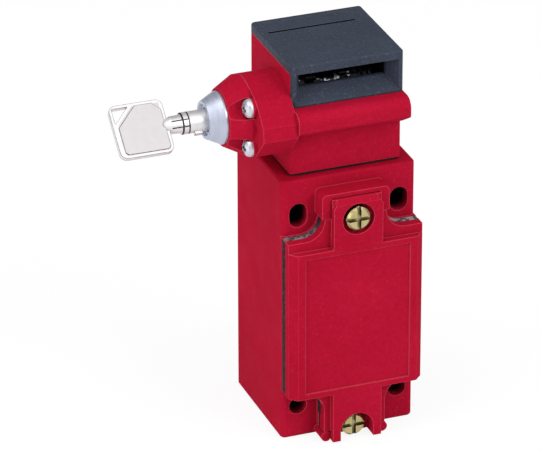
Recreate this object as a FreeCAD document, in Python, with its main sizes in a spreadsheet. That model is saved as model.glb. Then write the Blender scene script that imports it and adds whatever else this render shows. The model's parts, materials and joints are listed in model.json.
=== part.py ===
import FreeCAD, Part
import math
import os
import re
import Sketcher

# Tongue-operated safety interlock switch with a key lock on its left side.
# X runs to the right, the front faces -Y, Z is up.  Features are drawn with the body's bottom at
# height 0 and its rear mounting face at Y = 0; every piece is then lowered by fixing_low, so that
# the origin lies on the mounting face, midway between the two lower fixing holes.

SIZES = [
    # body casting
    ("body_width", 40.0, "width of the body"),
    ("body_depth", 36.4, "depth of the body behind its rim"),
    ("shaft_depth", 17.0, "cam shaft, plunger and cable entry from the mounting face"),
    ("body_height", 81.0, "height of the body"),
    ("body_round", 1.6, "rounding of the body's upright edges"),
    ("edge_round", 0.8, "rounding of lesser cast edges"),
    ("wall", 3.6, "side wall of the body"),
    ("rear_wall", 3.0, "rear wall of the body"),
    ("floor_height", 12.0, "thickness of the body's bottom, which holds the cable thread"),
    ("roof_thick", 17.6, "body above the wiring space"),
    ("cavity_round", 2.5, "rounding of the wiring space's inward corners"),
    ("rim_height", 1.1, "rim that carries the gasket"),
    ("fixing_spacing", 30.0, "fixing holes, side to side"),
    ("fixing_drop", 11.0, "upper fixing holes below the body's top"),
    ("fixing_low", 10.0, "lower fixing holes above the bottom"),
    ("fixing_radius", 2.65, "radius of a fixing hole"),
    ("slot_travel", 2.0, "how far the upper holes are lengthened"),
    ("fixing_land", 5.8, "bare round land about each fixing hole"),
    ("cable_radius", 9.25, "core radius of the cable thread"),
    ("frame_half", 10.0, "half width of the frame and lugs that hold the cover's tabs"),
    ("frame_proud", 5.6, "how far frame and lugs stand out"),
    ("frame_low_drop", 10.7, "bottom of the frame's legs below the body's top"),
    ("frame_drop", 3.4, "top of the frame below the body's top"),
    ("lug_round", 1.5, "radius of the two lugs at the bottom and of the frame's corners"),
    # cover and gasket
    ("gasket_thick", 1.3, "thickness of the cover gasket"),
    ("gasket_inset", 0.15, "how far the gasket lies inside the rim"),
    ("cover_flange", 3.2, "thickness of the cover's flange"),
    ("cover_rise", 2.2, "height of the cover's plateau above its flange"),
    ("tab_half", 9.2, "half width of the cover's tabs at the flange"),
    ("tab_face", 7.3, "half width of the raised tabs"),
    ("tab_drop", 4.8, "top of the upper tab below the body's top"),
    ("tab_bottom", 0.5, "bottom of the lower tab"),
    ("tab_gap", 0.15, "gap between a tab and what holds it"),
    ("tab_clip", 2.6, "size of the bevel at the upper tab's corners"),
    ("panel_half", 17.3, "half width of the label panel"),
    ("panel_drop", 19.6, "top of the label panel below the body's top"),
    ("panel_border", 1.7, "raised border round the label field"),
    ("panel_sink", 0.4, "depth of the label field"),
    ("cover_hollow", 2.8, "depth of the hollow behind the cover"),
    ("cover_screw_drop", 11.0, "upper cover screw below the body's top"),
    ("cover_screw_low", 3.6, "height of the lower cover screw"),
    ("cover_recess", 4.7, "radius of the recess round a cover screw"),
    ("cover_head_radius", 3.55, "head radius of a cover screw"),
    ("cover_head_thick", 2.4, "head thickness of a cover screw"),
    ("cover_shank", 1.9, "shank radius of a cover screw"),
    ("cover_screw_length", 11.0, "shank length of a cover screw"),
    ("upper_sink", 1.9, "depth of the recess round the upper cover screw"),
    ("lower_sink", 4.9, "depth of the notch round the lower cover screw"),
    ("tab_bevel", 1.4, "bevel along the upper tab's end"),
    ("slot_width", 1.2, "screwdriver slot width"),
    ("slot_depth", 1.1, "screwdriver slot depth"),
    ("cover_thread", 9.6, "depth of the cover screws' threads"),
    ("thread_play", 0.05, "play drawn between a screw and its thread"),
    # head
    ("gasket_head", 0.8, "thickness of the head gasket"),
    ("head_width", 33.0, "width of the head"),
    ("head_ahead", 17.0, "front of the head from the cam shaft"),
    ("head_behind", 14.2, "back of the head from the cam shaft"),
    ("head_height", 30.4, "height of the head's cheeks"),
    ("head_wall", 2.5, "wall of the head"),
    ("head_floor", 4.2, "floor of the head"),
    ("head_round", 1.0, "rounding of the upright edges of head and cap"),
    ("head_bolt_across", 10.6, "head screws from the middle, side to side"),
    ("head_bolt_back", 8.4, "head screws from the middle, front to back"),
    ("head_bolt_radius", 1.7, "shank radius of a head screw"),
    ("head_bolt_depth", 6.0, "how deep a head screw reaches into the body"),
    ("head_screw_head", 3.0, "head radius of a head screw"),
    ("head_screw_thick", 2.4, "head thickness of a head screw"),
    ("notch_half", 14.9, "half width of the notch in the head's front wall"),
    ("shaft_seat", 1.5, "how deep the cam shaft sits in each cheek"),
    ("bar_proud", 7.25, "how far the front bar stands out from the head"),
    ("bar_rise", 11.4, "underside of the bar at the head, above the head's bottom"),
    ("bar_slope", 3.8, "how much higher the bar's underside is at its front"),
    ("bar_depth", 9.3, "height of the bar at the head"),
    ("bar_step", 0.9, "flat part of the bar's underside"),
    ("bar_round", 3.0, "rounding of the bar's upper front edge"),
    ("bar_low_round", 1.2, "rounding of the bar's lower front edge"),
    # tongue guide cap
    ("cap_thick", 2.8, "thickness of the cap"),
    ("cap_proud", 1.45, "how far the cap stands out in front of the head"),
    ("cap_round", 0.7, "rounding of the cap's edges"),
    ("cap_play", 0.15, "play between cap and head"),
    ("mouth_half", 15.2, "half width of the funnel's mouth"),
    ("mouth_lip", 0.6, "lip below the funnel's mouth"),
    ("mouth_roof", 2.6, "plastic above the funnel's mouth"),
    ("nose_reach", 4.25, "how far the cap's nose reaches into the head"),
    ("funnel_depth", 4.4, "depth of the funnel"),
    ("entry_half", 12.9, "half width of the tongue's slot"),
    ("entry_height", 4.4, "height of the tongue's slot"),
    ("entry_roof", 4.0, "plastic left above the tongue's slot"),
    ("top_slot_middle", -1.55, "middle of the upper slot, side to side"),
    ("top_slot_front", 9.3, "front edge of the upper slot from the cap's back"),
    ("top_slot_back", 2.4, "back edge of the upper slot's plug from the cap's back"),
    ("groove_width", 1.0, "width of the groove in front of the plug"),
    ("plug_thick", 1.5, "thickness of the upper slot's plug"),
    ("entry_gap", 0.2, "how far the plug's leg stays above the tongue's path"),
    ("plug_gap", 0.08, "gap round the plug"),
    # cam and shaft
    ("cam_rise", 18.5, "cam shaft above the head's bottom"),
    ("shaft_radius", 2.0, "radius of the cam shaft"),
    ("running_play", 0.06, "radial play of a running fit"),
    ("claw_radius", 10.4, "outer radius of the claw discs"),
    ("claw_thick", 3.0, "thickness of a claw disc"),
    ("claw_inner", 3.5, "inner face of a claw disc from the middle"),
    ("claw_slot", 4.0, "width of the claws' gap"),
    ("claw_root", 5.9, "distance of the gap's bottom from the shaft"),
    ("claw_angle", 139.0, "angle of the front gap, in degrees"),
    ("cam_hub", 3.8, "radius of the cam's hub"),
    ("lift_large", 9.0, "largest radius of the lift cam"),
    ("lift_rate", 3.8, "lift per radian of turn"),
    ("lift_thick", 3.2, "thickness of the lift cam"),
    ("disc_radius", 9.2, "radius of the locking disc"),
    ("disc_face", 8.9, "near face of the locking disc from the middle"),
    ("disc_thick", 1.5, "thickness of the locking disc"),
    ("cam_travel", 60.0, "turn of the cam, in degrees"),
    ("bush_radius", 3.0, "radius of the spacer bushes"),
    ("cam_spring_wire", 0.45, "wire radius of the cam spring"),
    ("cam_spring_radius", 3.1, "coil radius of the cam spring"),
    # lock
    ("lock_ahead", 6.5, "lock axis in front of the cam shaft"),
    ("lock_drop", 2.8, "lock axis below the cam shaft"),
    ("lock_radius", 11.3, "radius of the lock housing"),
    ("lock_flange", 26.6, "seat of the lock's nose from the middle"),
    ("nose_end", 33.2, "end of the nose from the middle"),
    ("nose_straight", 1.2, "straight part of the nose"),
    ("nose_small", 8.3, "small radius of the nose"),
    ("screw_lug", 2.8, "radius of the two screw lugs"),
    ("lock_screw_forward", 9.2, "lock screws in front of the lock axis"),
    ("lock_screw_up", 5.9, "lock screws above and below the axis"),
    ("lock_screw_head", 2.7, "head radius of a lock screw"),
    ("lock_screw_thick", 2.0, "head thickness of a lock screw"),
    ("lock_thread", 7.0, "thread length of a lock screw"),
    ("nose_plate", 1.0, "plate of the nose under its screws"),
    ("lock_screw_shank", 1.4, "shank radius of a lock screw"),
    ("lock_nose_front", 17.0, "front of the lock housing's bar from the lock axis"),
    ("barrel_radius", 6.8, "radius of the lock barrel"),
    ("barrel_play", 0.1, "play round the lock barrel"),
    ("rotor_radius", 4.9, "radius of the lock rotor"),
    ("tail_radius", 3.0, "radius of the rotor's tail"),
    ("post_radius", 1.9, "radius of the post inside the key"),
    ("key_bore", 3.4, "bore that takes the key's tube"),
    ("bezel_large", 7.5, "large radius of the bezel"),
    ("bezel_small", 5.4, "small radius of the bezel"),
    ("bezel_end", 38.0, "end of the bezel from the middle"),
    ("crank_throw", 4.5, "throw of the locking crank"),
    ("crank_pin", 1.2, "radius of the crank pin"),
    ("crank_hub", 2.6, "radius of the crank's hub"),
    ("crank_post", 1.5, "radius of the rotor's post that carries the crank"),
    ("crank_face", 13.8, "outer face of the crank from the middle"),
    ("crank_thick", 2.0, "thickness of the crank"),
    ("inner_screw_circle", 8.8, "circle of the screws that hold the lock housing"),
    # key
    ("key_tube", 3.1, "outer radius of the key's tube"),
    ("key_hollow", 2.3, "inner radius of the key's tube"),
    ("key_start", 31.4, "inner end of the key from the middle"),
    ("key_tube_end", 44.7, "outer end of the plain tube from the middle"),
    ("key_neck_end", 50.0, "outer end of the key's neck from the middle"),
    ("bow_start", 48.5, "inner edge of the bow from the middle"),
    ("bow_end", 64.0, "outer edge of the bow from the middle"),
    ("bow_half", 8.0, "half height of the bow"),
    ("bow_thick", 2.2, "thickness of the bow"),
    ("bow_round", 2.0, "rounding of the bow's corners"),
    ("ring_hole", 4.6, "leg of the three-cornered hole for a key ring"),
    ("panel_raise", 0.3, "how far the bow's middle field stands out"),
    ("bow_edge", 1.5, "edge round the bow's middle field"),
    ("nib_start", 39.3, "inner end of the key's nib from the middle"),
    ("nib_end", 41.6, "outer end of the key's nib from the middle"),
    ("nib_reach", 4.0, "how far the nib reaches from the lock axis"),
    ("nib_width", 1.2, "width of the nib"),
    ("bow_turn", 49.0, "turn of the bow about the lock axis, in degrees"),
    # plunger and contacts
    ("plunger_radius", 3.0, "radius of the plunger"),
    ("plunger_tip", 1.5, "radius of the plunger's domed tip"),
    ("tip_gap", 0.3, "gap between cam and plunger"),
    ("foot_gap", 0.8, "bottom of the plunger above the contact block"),
    ("soft_gap", 0.3, "gap round a moving piece"),
    ("bush_flange", 6.0, "radius of the plunger bush's flange"),
    ("bush_body", 5.0, "radius of the plunger bush"),
    ("seal_radius", 5.5, "radius of the plunger seal"),
    ("seal_thick", 1.8, "thickness of the plunger seal"),
    ("block_half", 12.8, "half width of the contact block"),
    ("block_rise", 7.8, "contact block above the floor of the wiring space"),
    ("block_drop", 5.4, "top of the contact block below the roof of the wiring space"),
    ("block_back", 6.0, "back of the contact block from the mounting face"),
    ("block_front", 28.0, "front of the contact block from the mounting face"),
    ("block_floor", 2.0, "floor under the return spring"),
    ("block_screw", 9.4, "contact block screws from the middle"),
    ("block_screw_rise", 5.7, "contact block screws above the block's bottom"),
    ("block_screw_seat", 11.0, "seat of the contact block screws from the mounting face"),
    ("carrier_half", 4.2, "half width of the contact carrier"),
    ("carrier_depth", 9.0, "depth of the contact carrier"),
    ("carrier_rise", 7.7, "contact carrier above the block's bottom"),
    ("pole_count", 3, "number of poles"),
    ("pole_rise", 9.2, "lowest bridge above the block's bottom"),
    ("pole_spare", 8.2, "height of the contact block that its poles leave over"),
    ("bridge_half", 9.0, "half length of a contact bridge"),
    ("bridge_thick", 1.0, "thickness of a contact bridge"),
    ("bridge_width", 4.0, "width of a contact bridge"),
    ("contact_gap", 5.3, "opening between bridge and fixed contact"),
    ("rivet_radius", 1.3, "radius of a contact rivet"),
    ("rivet_high", 0.5, "height of a contact rivet"),
    ("strip_inner", 6.4, "inner end of a fixed contact from the middle"),
    ("strip_outer", 12.2, "outer edge of a fixed contact from the middle"),
    ("strip_thick", 0.8, "thickness of a fixed contact"),
    ("plate_half", 2.7, "half height of a terminal plate"),
    ("terminal_across", 9.6, "terminal screws from the middle"),
    ("terminal_screw", 1.5, "shank radius of a terminal screw"),
    ("terminal_head", 2.4, "head radius of a terminal screw"),
    ("terminal_thick", 1.6, "head thickness of a terminal screw"),
    ("terminal_reach", 6.0, "shank length of a terminal screw"),
    ("clamp_half", 2.5, "half width of a terminal clamp"),
    ("clamp_thick", 0.8, "thickness of a terminal clamp"),
    ("spring_radius", 2.6, "coil radius of the return spring"),
    ("spring_wire", 0.4, "wire radius of the return spring"),
    ("spring_turns", 4, "turns of the return spring"),
    ("cam_spring_turns", 4, "turns of the cam spring"),
    ("boss_radius", 2.8, "radius of the bosses on the rear wall"),
    ("earth_boss", 6.4, "front of the earth screw's boss from the mounting face"),
    ("earth_across", 5.1, "earth screw from the middle"),
    ("earth_reach", 4.4, "shank length of the earth screw"),
    ("earth_rise", 3.4, "earth screw above the floor of the wiring space"),
]

doc = FreeCAD.newDocument("InterlockSwitch")
sheet = doc.addObject("Spreadsheet::Sheet", "Sizes")
for row, (alias, amount, meaning) in enumerate(SIZES, start=1):
    sheet.set(f"A{row}", meaning)
    sheet.set(f"B{row}", str(amount))
    sheet.setAlias(f"B{row}", alias)
doc.recompute()

# places that follow from the sizes above
PLACES = {
    "cavity_top": "(body_height - roof_thick)",
    "frame_low": "(body_height - frame_low_drop)",
    "frame_top": "(body_height - frame_drop)",
    "tab_top": "(body_height - tab_drop)",
    "panel_top": "(body_height - panel_drop)",
    "cover_screw_high": "(body_height - cover_screw_drop)",
    "bar_low": "(body_height + gasket_head + bar_rise)",
    "bar_nose_low": "(bar_low + bar_slope)",
    "bar_top": "(bar_low + bar_depth)",
    "cam_height": "(body_height + gasket_head + cam_rise)",
    "lock_height": "(cam_height - lock_drop)",
    "lock_back": "(shaft_depth + lock_ahead)",
    "block_low": "(floor_height + block_rise)",
    "block_top": "(cavity_top - block_drop)",
    "block_screw_height": "(block_low + block_screw_rise)",
    "plunger_foot": "(block_top + foot_gap)",
    "carrier_low": "(block_low + carrier_rise)",
    "pole_low": "(block_low + pole_rise)",
    "pole_pitch": "((block_top - block_low - pole_spare) / pole_count)",
    "earth_height": "(floor_height + earth_rise)",
}

NAMES = {alias for alias, amount, meaning in SIZES}
PLANES = {"front": "XZ_Plane", "top": "XY_Plane", "side": "YZ_Plane"}
parts = []


# ---------------------------------------------------------------- helpers

def sized(text):
    """Write a formula in size and place names the way other objects read the sheet."""
    def place_or_size(word):
        if word[0] in PLACES:
            return sized(PLACES[word[0]])
        return "Sizes." + word[0] if word[0] in NAMES else word[0]
    return re.sub(r"[a-z_]+", place_or_size, str(text))


def size(text):
    """Value of a formula in size names."""
    return float(sheet.evalExpression(sized(text)))


def bind(thing, slot, text):
    thing.setExpression(slot, sized(text))


def place(piece):
    """Lower a finished piece so that the origin lies between the lower fixing holes."""
    bind(piece, "Placement.Base.z", "-fixing_low")
    parts.append(piece)
    return piece


def new_body(label, template=False):
    body = doc.addObject("PartDesign::Body", label)
    body.Label = label
    if not template:
        place(body)
    return body


def new_sketch(body, plane, offset="0", across="0", up="0"):
    """Sketch on one of the body's planes, moved along the plane's normal and within it."""
    sketch = body.newObject("Sketcher::SketchObject", f"{body.Label}_sketch")
    role = PLANES[plane]
    support = [item for item in body.Origin.OriginFeatures if item.Role == role][0]
    sketch.AttachmentSupport = [(support, "")]
    sketch.MapMode = "FlatFace"
    bind(sketch, "AttachmentOffset.Base.x", across)
    bind(sketch, "AttachmentOffset.Base.y", up)
    bind(sketch, "AttachmentOffset.Base.z", offset)
    return sketch


def pin(sketch, geometry, point, across, up):
    """Hold a point of the sketch at two formulas."""
    for kind, text in (("DistanceX", across), ("DistanceY", up)):
        rule = Sketcher.Constraint(kind, -1, 1, geometry, point, size(text))
        index = sketch.addConstraint(rule)
        bind(sketch, f"Constraints[{index}]", text)


def outline(sketch, corners):
    """Closed polygon whose corners are pairs of formulas."""
    spots = [FreeCAD.Vector(size(across), size(up), 0) for across, up in corners]
    first = sketch.GeometryCount
    count = len(spots)
    for index in range(count):
        sketch.addGeometry(Part.LineSegment(spots[index], spots[(index + 1) % count]))
    for index, (across, up) in enumerate(corners):
        following = first + (index + 1) % count
        sketch.addConstraint(Sketcher.Constraint("Coincident", first + index, 2, following, 1))
        pin(sketch, first + index, 1, across, up)
    return sketch


def box(sketch, left, right, low, high):
    return outline(sketch, [(left, low), (right, low), (right, high), (left, high)])


def circle(sketch, across, up, radius):
    middle = FreeCAD.Vector(size(across), size(up), 0)
    index = sketch.addGeometry(Part.Circle(middle, FreeCAD.Vector(0, 0, 1), size(radius)))
    pin(sketch, index, 3, across, up)
    rule = sketch.addConstraint(Sketcher.Constraint("Radius", index, size(radius)))
    bind(sketch, f"Constraints[{rule}]", radius)
    return sketch


def slot(sketch, across, up, travel, radius):
    """Upright slot with round ends."""
    centre = FreeCAD.Vector(size(across), size(up), 0)
    reach = FreeCAD.Vector(0, size(travel) / 2, 0)
    width = FreeCAD.Vector(size(radius), 0, 0)
    normal = FreeCAD.Vector(0, 0, 1)
    upper = sketch.addGeometry(Part.ArcOfCircle(Part.Circle(centre + reach, normal, width.x), 0, math.pi))
    lower_circle = Part.Circle(centre - reach, normal, width.x)
    lower = sketch.addGeometry(Part.ArcOfCircle(lower_circle, math.pi, 2 * math.pi))
    left = sketch.addGeometry(Part.LineSegment(centre + reach - width, centre - reach - width))
    right = sketch.addGeometry(Part.LineSegment(centre - reach + width, centre + reach + width))
    for first, first_end, second, second_end in ((upper, 2, left, 1), (left, 2, lower, 1),
                                                 (lower, 2, right, 1), (right, 2, upper, 1)):
        sketch.addConstraint(Sketcher.Constraint("Tangent", first, first_end, second, second_end))
    sketch.addConstraint(Sketcher.Constraint("Equal", upper, lower))
    rule = sketch.addConstraint(Sketcher.Constraint("Radius", upper, width.x))
    bind(sketch, f"Constraints[{rule}]", radius)
    pin(sketch, upper, 3, across, f"{up} + ({travel}) / 2")
    pin(sketch, lower, 3, across, f"{up} - ({travel}) / 2")
    return sketch


def feature(sketch, kind, **slots):
    """Feature of the sketch's body that uses the sketch as its profile."""
    body = sketch.getParentGeoFeatureGroup()
    made = body.newObject(f"PartDesign::{kind}", f"{body.Label}_{kind.lower()}")
    made.Profile = sketch
    for slot, content in slots.items():
        setattr(made, slot, content)
    return made


def pad(sketch, length, back=False):
    made = feature(sketch, "Pad", Reversed=back)
    bind(made, "Length", length)
    doc.recompute()
    return made


def pocket(sketch, length, ahead=False):
    """Cut against the sketch's normal, or along it when ahead is set."""
    made = feature(sketch, "Pocket", Reversed=ahead)
    bind(made, "Length", length)
    doc.recompute()
    return made


def revolve(sketch, axis="H_Axis", kind="Revolution"):
    made = feature(sketch, kind, ReferenceAxis=(sketch, [axis]), Angle=360.0)
    doc.recompute()
    return made


def turned(label, plane, profile, offset="0", across="0", up="0", axis="H_Axis", template=False):
    """Turned piece: the profile's first value runs along the axis, the second is a radius."""
    body = new_body(label, template)
    sketch = new_sketch(body, plane, offset, across, up)
    if axis == "V_Axis":
        profile = [(radius, along) for along, radius in profile]
    outline(sketch, profile)
    revolve(sketch, axis)
    return body


def runs_along(edge, axis):
    """True for a straight edge parallel to one axis."""
    if len(edge.Vertexes) != 2 or not isinstance(edge.Curve, Part.Line):
        return False
    span = edge.Vertexes[1].Point - edge.Vertexes[0].Point
    return abs(span[axis]) > 1e-6 and abs(abs(span[axis]) - span.Length) < 1e-6


def near(number, target):
    return abs(number - target) < 1e-3


def soften(base, chosen, radius, kind="Fillet"):
    """Round or bevel the edges of the base feature that the test accepts."""
    names = [f"Edge{i}" for i, edge in enumerate(base.Shape.Edges, start=1) if chosen(edge)]
    body = base.getParentGeoFeatureGroup()
    made = body.newObject(f"PartDesign::{kind}", f"{body.Label}_{kind.lower()}")
    made.Base = (base, names)
    bind(made, "Radius" if kind == "Fillet" else "Size", radius)
    doc.recompute()
    return made


def shape_node(label, solids):
    """Node whose solids are made or repeated here instead of in a body."""
    node = doc.addObject("Part::Feature", label)
    node.Label = label
    node.Shape = Part.makeCompound(solids)
    return place(node)


def copies(label, template, spots):
    """One node of equal pieces: the template's solid moved to each (x, y, z) of formulas."""
    solids = []
    for spot in spots:
        solid = template.Shape.copy()
        solid.translate(FreeCAD.Vector(*[size(text) for text in spot]))
        solids.append(solid)
    return shape_node(label, solids)


def mirrored(pairs):
    """Corners of one side, then the same corners mirrored in reverse order."""
    return pairs + [(f"-({across})", up) for across, up in reversed(pairs)]


# ---------------------------------------------------------------- shared places

HALF = "body_width / 2"
FIX_X = "fixing_spacing / 2"
FIX_HIGH = "(body_height - fixing_drop)"
COVER_LOW = "fixing_low + fixing_land"
COVER_HIGH = f"({FIX_HIGH} - fixing_land)"
RIM = "(body_depth + rim_height)"
FLANGE_BACK = f"({RIM} + gasket_thick)"
FLANGE = f"({FLANGE_BACK} + cover_flange)"
PLATEAU = f"({FLANGE} + cover_rise)"
CAVITY_HALF = f"({HALF} - wall)"
CAVITY_NECK = "(tab_half - 1.6)"
MIDDLE = "shaft_depth"
HEAD_LOW = "(body_height + gasket_head)"
HEAD_TOP = f"({HEAD_LOW} + head_height)"
HEAD_HALF = "(head_width / 2)"
HEAD_FRONT = f"({MIDDLE} + head_ahead)"
HEAD_BACK = f"({MIDDLE} - head_behind)"
HEAD_INNER = "(head_width / 2 - head_wall)"
CAP_TOP = f"({HEAD_TOP} + cap_thick)"
CAP_FRONT = f"({HEAD_FRONT} + cap_proud)"
ENTRY_TOP = f"({CAP_TOP} - entry_roof)"
ENTRY_LOW = f"({ENTRY_TOP} - entry_height)"
LOCK_TAIL = "(tail_radius + soft_gap)"
TIP = "(cam_height - lift_large - tip_gap)"
CONTACT_HEIGHT = "(bridge_thick + contact_gap)"
# bosses on the body's rear wall: threaded ones for contact block and earth screw, plain ones above
BOSSES = [
    ("-block_screw", "block_screw_height", "block_back"),
    ("block_screw", "block_screw_height", "block_back"),
    ("-earth_across", "earth_height", "earth_boss"),
]
RESTS = [("-block_screw", "block_top - 4"), ("block_screw", "block_top - 4")]


def plain_outline(sketch, inset, neck, top, low):
    """A broad field with a tab above and a tab below."""
    side = f"{HALF} - ({inset})"
    right = [
        (neck, low),
        (neck, f"{COVER_LOW} + ({inset})"),
        (side, f"{COVER_LOW} + ({inset})"),
        (side, f"{COVER_HIGH} - ({inset})"),
        (neck, f"{COVER_HIGH} - ({inset})"),
        (neck, top),
    ]
    return outline(sketch, mirrored(right))


def cover_outline(sketch, inset="0"):
    """The cover's outline, whose tabs narrow between the body's frame legs and lugs."""
    side = f"{HALF} - ({inset})"
    neck = f"tab_half - ({inset})"
    end = f"tab_face - ({inset})"
    right = [
        (end, f"tab_bottom + ({inset})"),
        (end, "2 * lug_round + tab_gap"),
        (neck, "2 * lug_round + tab_gap"),
        (neck, f"{COVER_LOW} + ({inset})"),
        (side, f"{COVER_LOW} + ({inset})"),
        (side, f"{COVER_HIGH} - ({inset})"),
        (neck, f"{COVER_HIGH} - ({inset})"),
        (neck, "frame_low - tab_gap"),
        (end, "frame_low - tab_gap"),
        (end, f"tab_top - ({inset})"),
    ]
    return outline(sketch, mirrored(right))


def inner_corners(inset, neck):
    """Test for the four inward corners of such an outline."""
    corner = size(neck)
    heights = [size(f"{COVER_LOW} + ({inset})"), size(f"{COVER_HIGH} - ({inset})")]

    def test(edge):
        spot = edge.Vertexes[0].Point
        level = near(spot.z, heights[0]) or near(spot.z, heights[1])
        return runs_along(edge, 1) and near(abs(spot.x), corner) and level
    return test


# ---------------------------------------------------------------- body casting

def head_bolt_spots():
    return [(f"{side}head_bolt_across", f"-{MIDDLE} {end} head_bolt_back")
            for side in ("-", "") for end in "-+"]


def make_body_housing():
    body = new_body("body_housing")
    block = pad(box(new_sketch(body, "front"), f"-{HALF}", HALF, "0", "body_height"), "body_depth")
    upright = soften(block, lambda edge: runs_along(edge, 2), "body_round")
    front = size("body_depth")

    def level_edges(edge):
        spot = edge.CenterOfMass
        return near(spot.z, 0) or (near(spot.y, -front) and runs_along(edge, 0))
    soften(upright, level_edges, "edge_round")
    rim_sketch = new_sketch(body, "front", "body_depth - 1")
    rim = pad(plain_outline(rim_sketch, "0", "tab_half", "frame_top - 1", "tab_bottom"), "rim_height + 1")
    soften(rim, inner_corners("0", "tab_half"), "fixing_land")
    frame = new_sketch(body, "front", "body_depth - 1")
    raised = pad(box(frame, "-frame_half", "frame_half", "frame_low", "frame_top"), "frame_proud + 1")
    top = size("frame_top")

    def frame_corners(edge):
        return runs_along(edge, 1) and near(edge.CenterOfMass.z, top)
    soften(raised, frame_corners, "lug_round")
    lug_middle = "frame_half - lug_round"
    for side in ("-", ""):
        lug = new_sketch(body, "front", "body_depth - 2")
        circle(lug, f"{side}({lug_middle})", "lug_round", "lug_round")
        pad(lug, "frame_proud + 2")
    web = new_sketch(body, "front", "body_depth - 2")
    pad(box(web, f"-({lug_middle})", lug_middle, "0", "2 * lug_round"), "rim_height + 2")
    seat_half = "tab_face + tab_gap"
    seat = new_sketch(body, "front", RIM)
    pocket(box(seat, f"-({seat_half})", seat_half, "-1", "tab_top + tab_gap"), "frame_proud", ahead=True)
    cavity = new_sketch(body, "front", RIM)
    plain_outline(cavity, "wall", CAVITY_NECK, "cavity_top", "floor_height")
    hollow = pocket(cavity, f"{RIM} - rear_wall")
    soften(hollow, inner_corners("wall", CAVITY_NECK), "cavity_round")
    holes = new_sketch(body, "front", RIM)
    for side in ("-", ""):
        circle(holes, f"{side}({FIX_X})", "fixing_low", "fixing_radius")
        slot(holes, f"{side}({FIX_X})", FIX_HIGH, "slot_travel", "fixing_radius")
    pocket(holes, f"{RIM} + 1")
    pocket(circle(new_sketch(body, "top"), "0", f"-{MIDDLE}", "cable_radius"), "floor_height + 1", ahead=True)
    way = new_sketch(body, "top", "body_height")
    pocket(circle(way, "0", f"-{MIDDLE}", "plunger_radius + soft_gap"), "body_height - cavity_top + 1")
    seal_seat = new_sketch(body, "top", "body_height")
    pocket(circle(seal_seat, "0", f"-{MIDDLE}", "seal_radius + thread_play"), "seal_thick")
    threads = new_sketch(body, "front", RIM)
    for height in ("cover_screw_high", "cover_screw_low"):
        circle(threads, "0", height, "cover_shank + thread_play")
    pocket(threads, "cover_thread")
    bolts = new_sketch(body, "top", "body_height")
    for across, back in head_bolt_spots():
        circle(bolts, across, back, "head_bolt_radius + thread_play")
    pocket(bolts, "head_bolt_depth + 0.5")
    for across, height, top in BOSSES:
        boss = new_sketch(body, "front", "rear_wall - 1")
        pad(circle(boss, across, height, "boss_radius"), f"{top} - rear_wall + 1")
        hole = new_sketch(body, "front", top)
        pocket(circle(hole, across, height, "terminal_screw + thread_play"), f"{top} - 1")
    for across, height in RESTS:
        rest = new_sketch(body, "front", "rear_wall - 1")
        pad(circle(rest, across, height, "boss_radius"), "block_back - rear_wall + 1")
    return body


# ---------------------------------------------------------------- cover, gasket and their screws

def make_cover_gasket():
    body = new_body("cover_gasket")
    ring = pad(cover_outline(new_sketch(body, "front", RIM), "gasket_inset"), "gasket_thick")
    soften(ring, inner_corners("gasket_inset", "tab_half - gasket_inset"), "fixing_land")
    inner = new_sketch(body, "front", RIM)
    plain_outline(inner, "wall", CAVITY_NECK, "cavity_top", "floor_height")
    pocket(inner, "gasket_thick + 1", ahead=True)
    holes = new_sketch(body, "front", RIM)
    for height in ("cover_screw_high", "cover_screw_low"):
        circle(holes, "0", height, "cover_shank + soft_gap")
    pocket(holes, "gasket_thick + 1", ahead=True)
    return body


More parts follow.
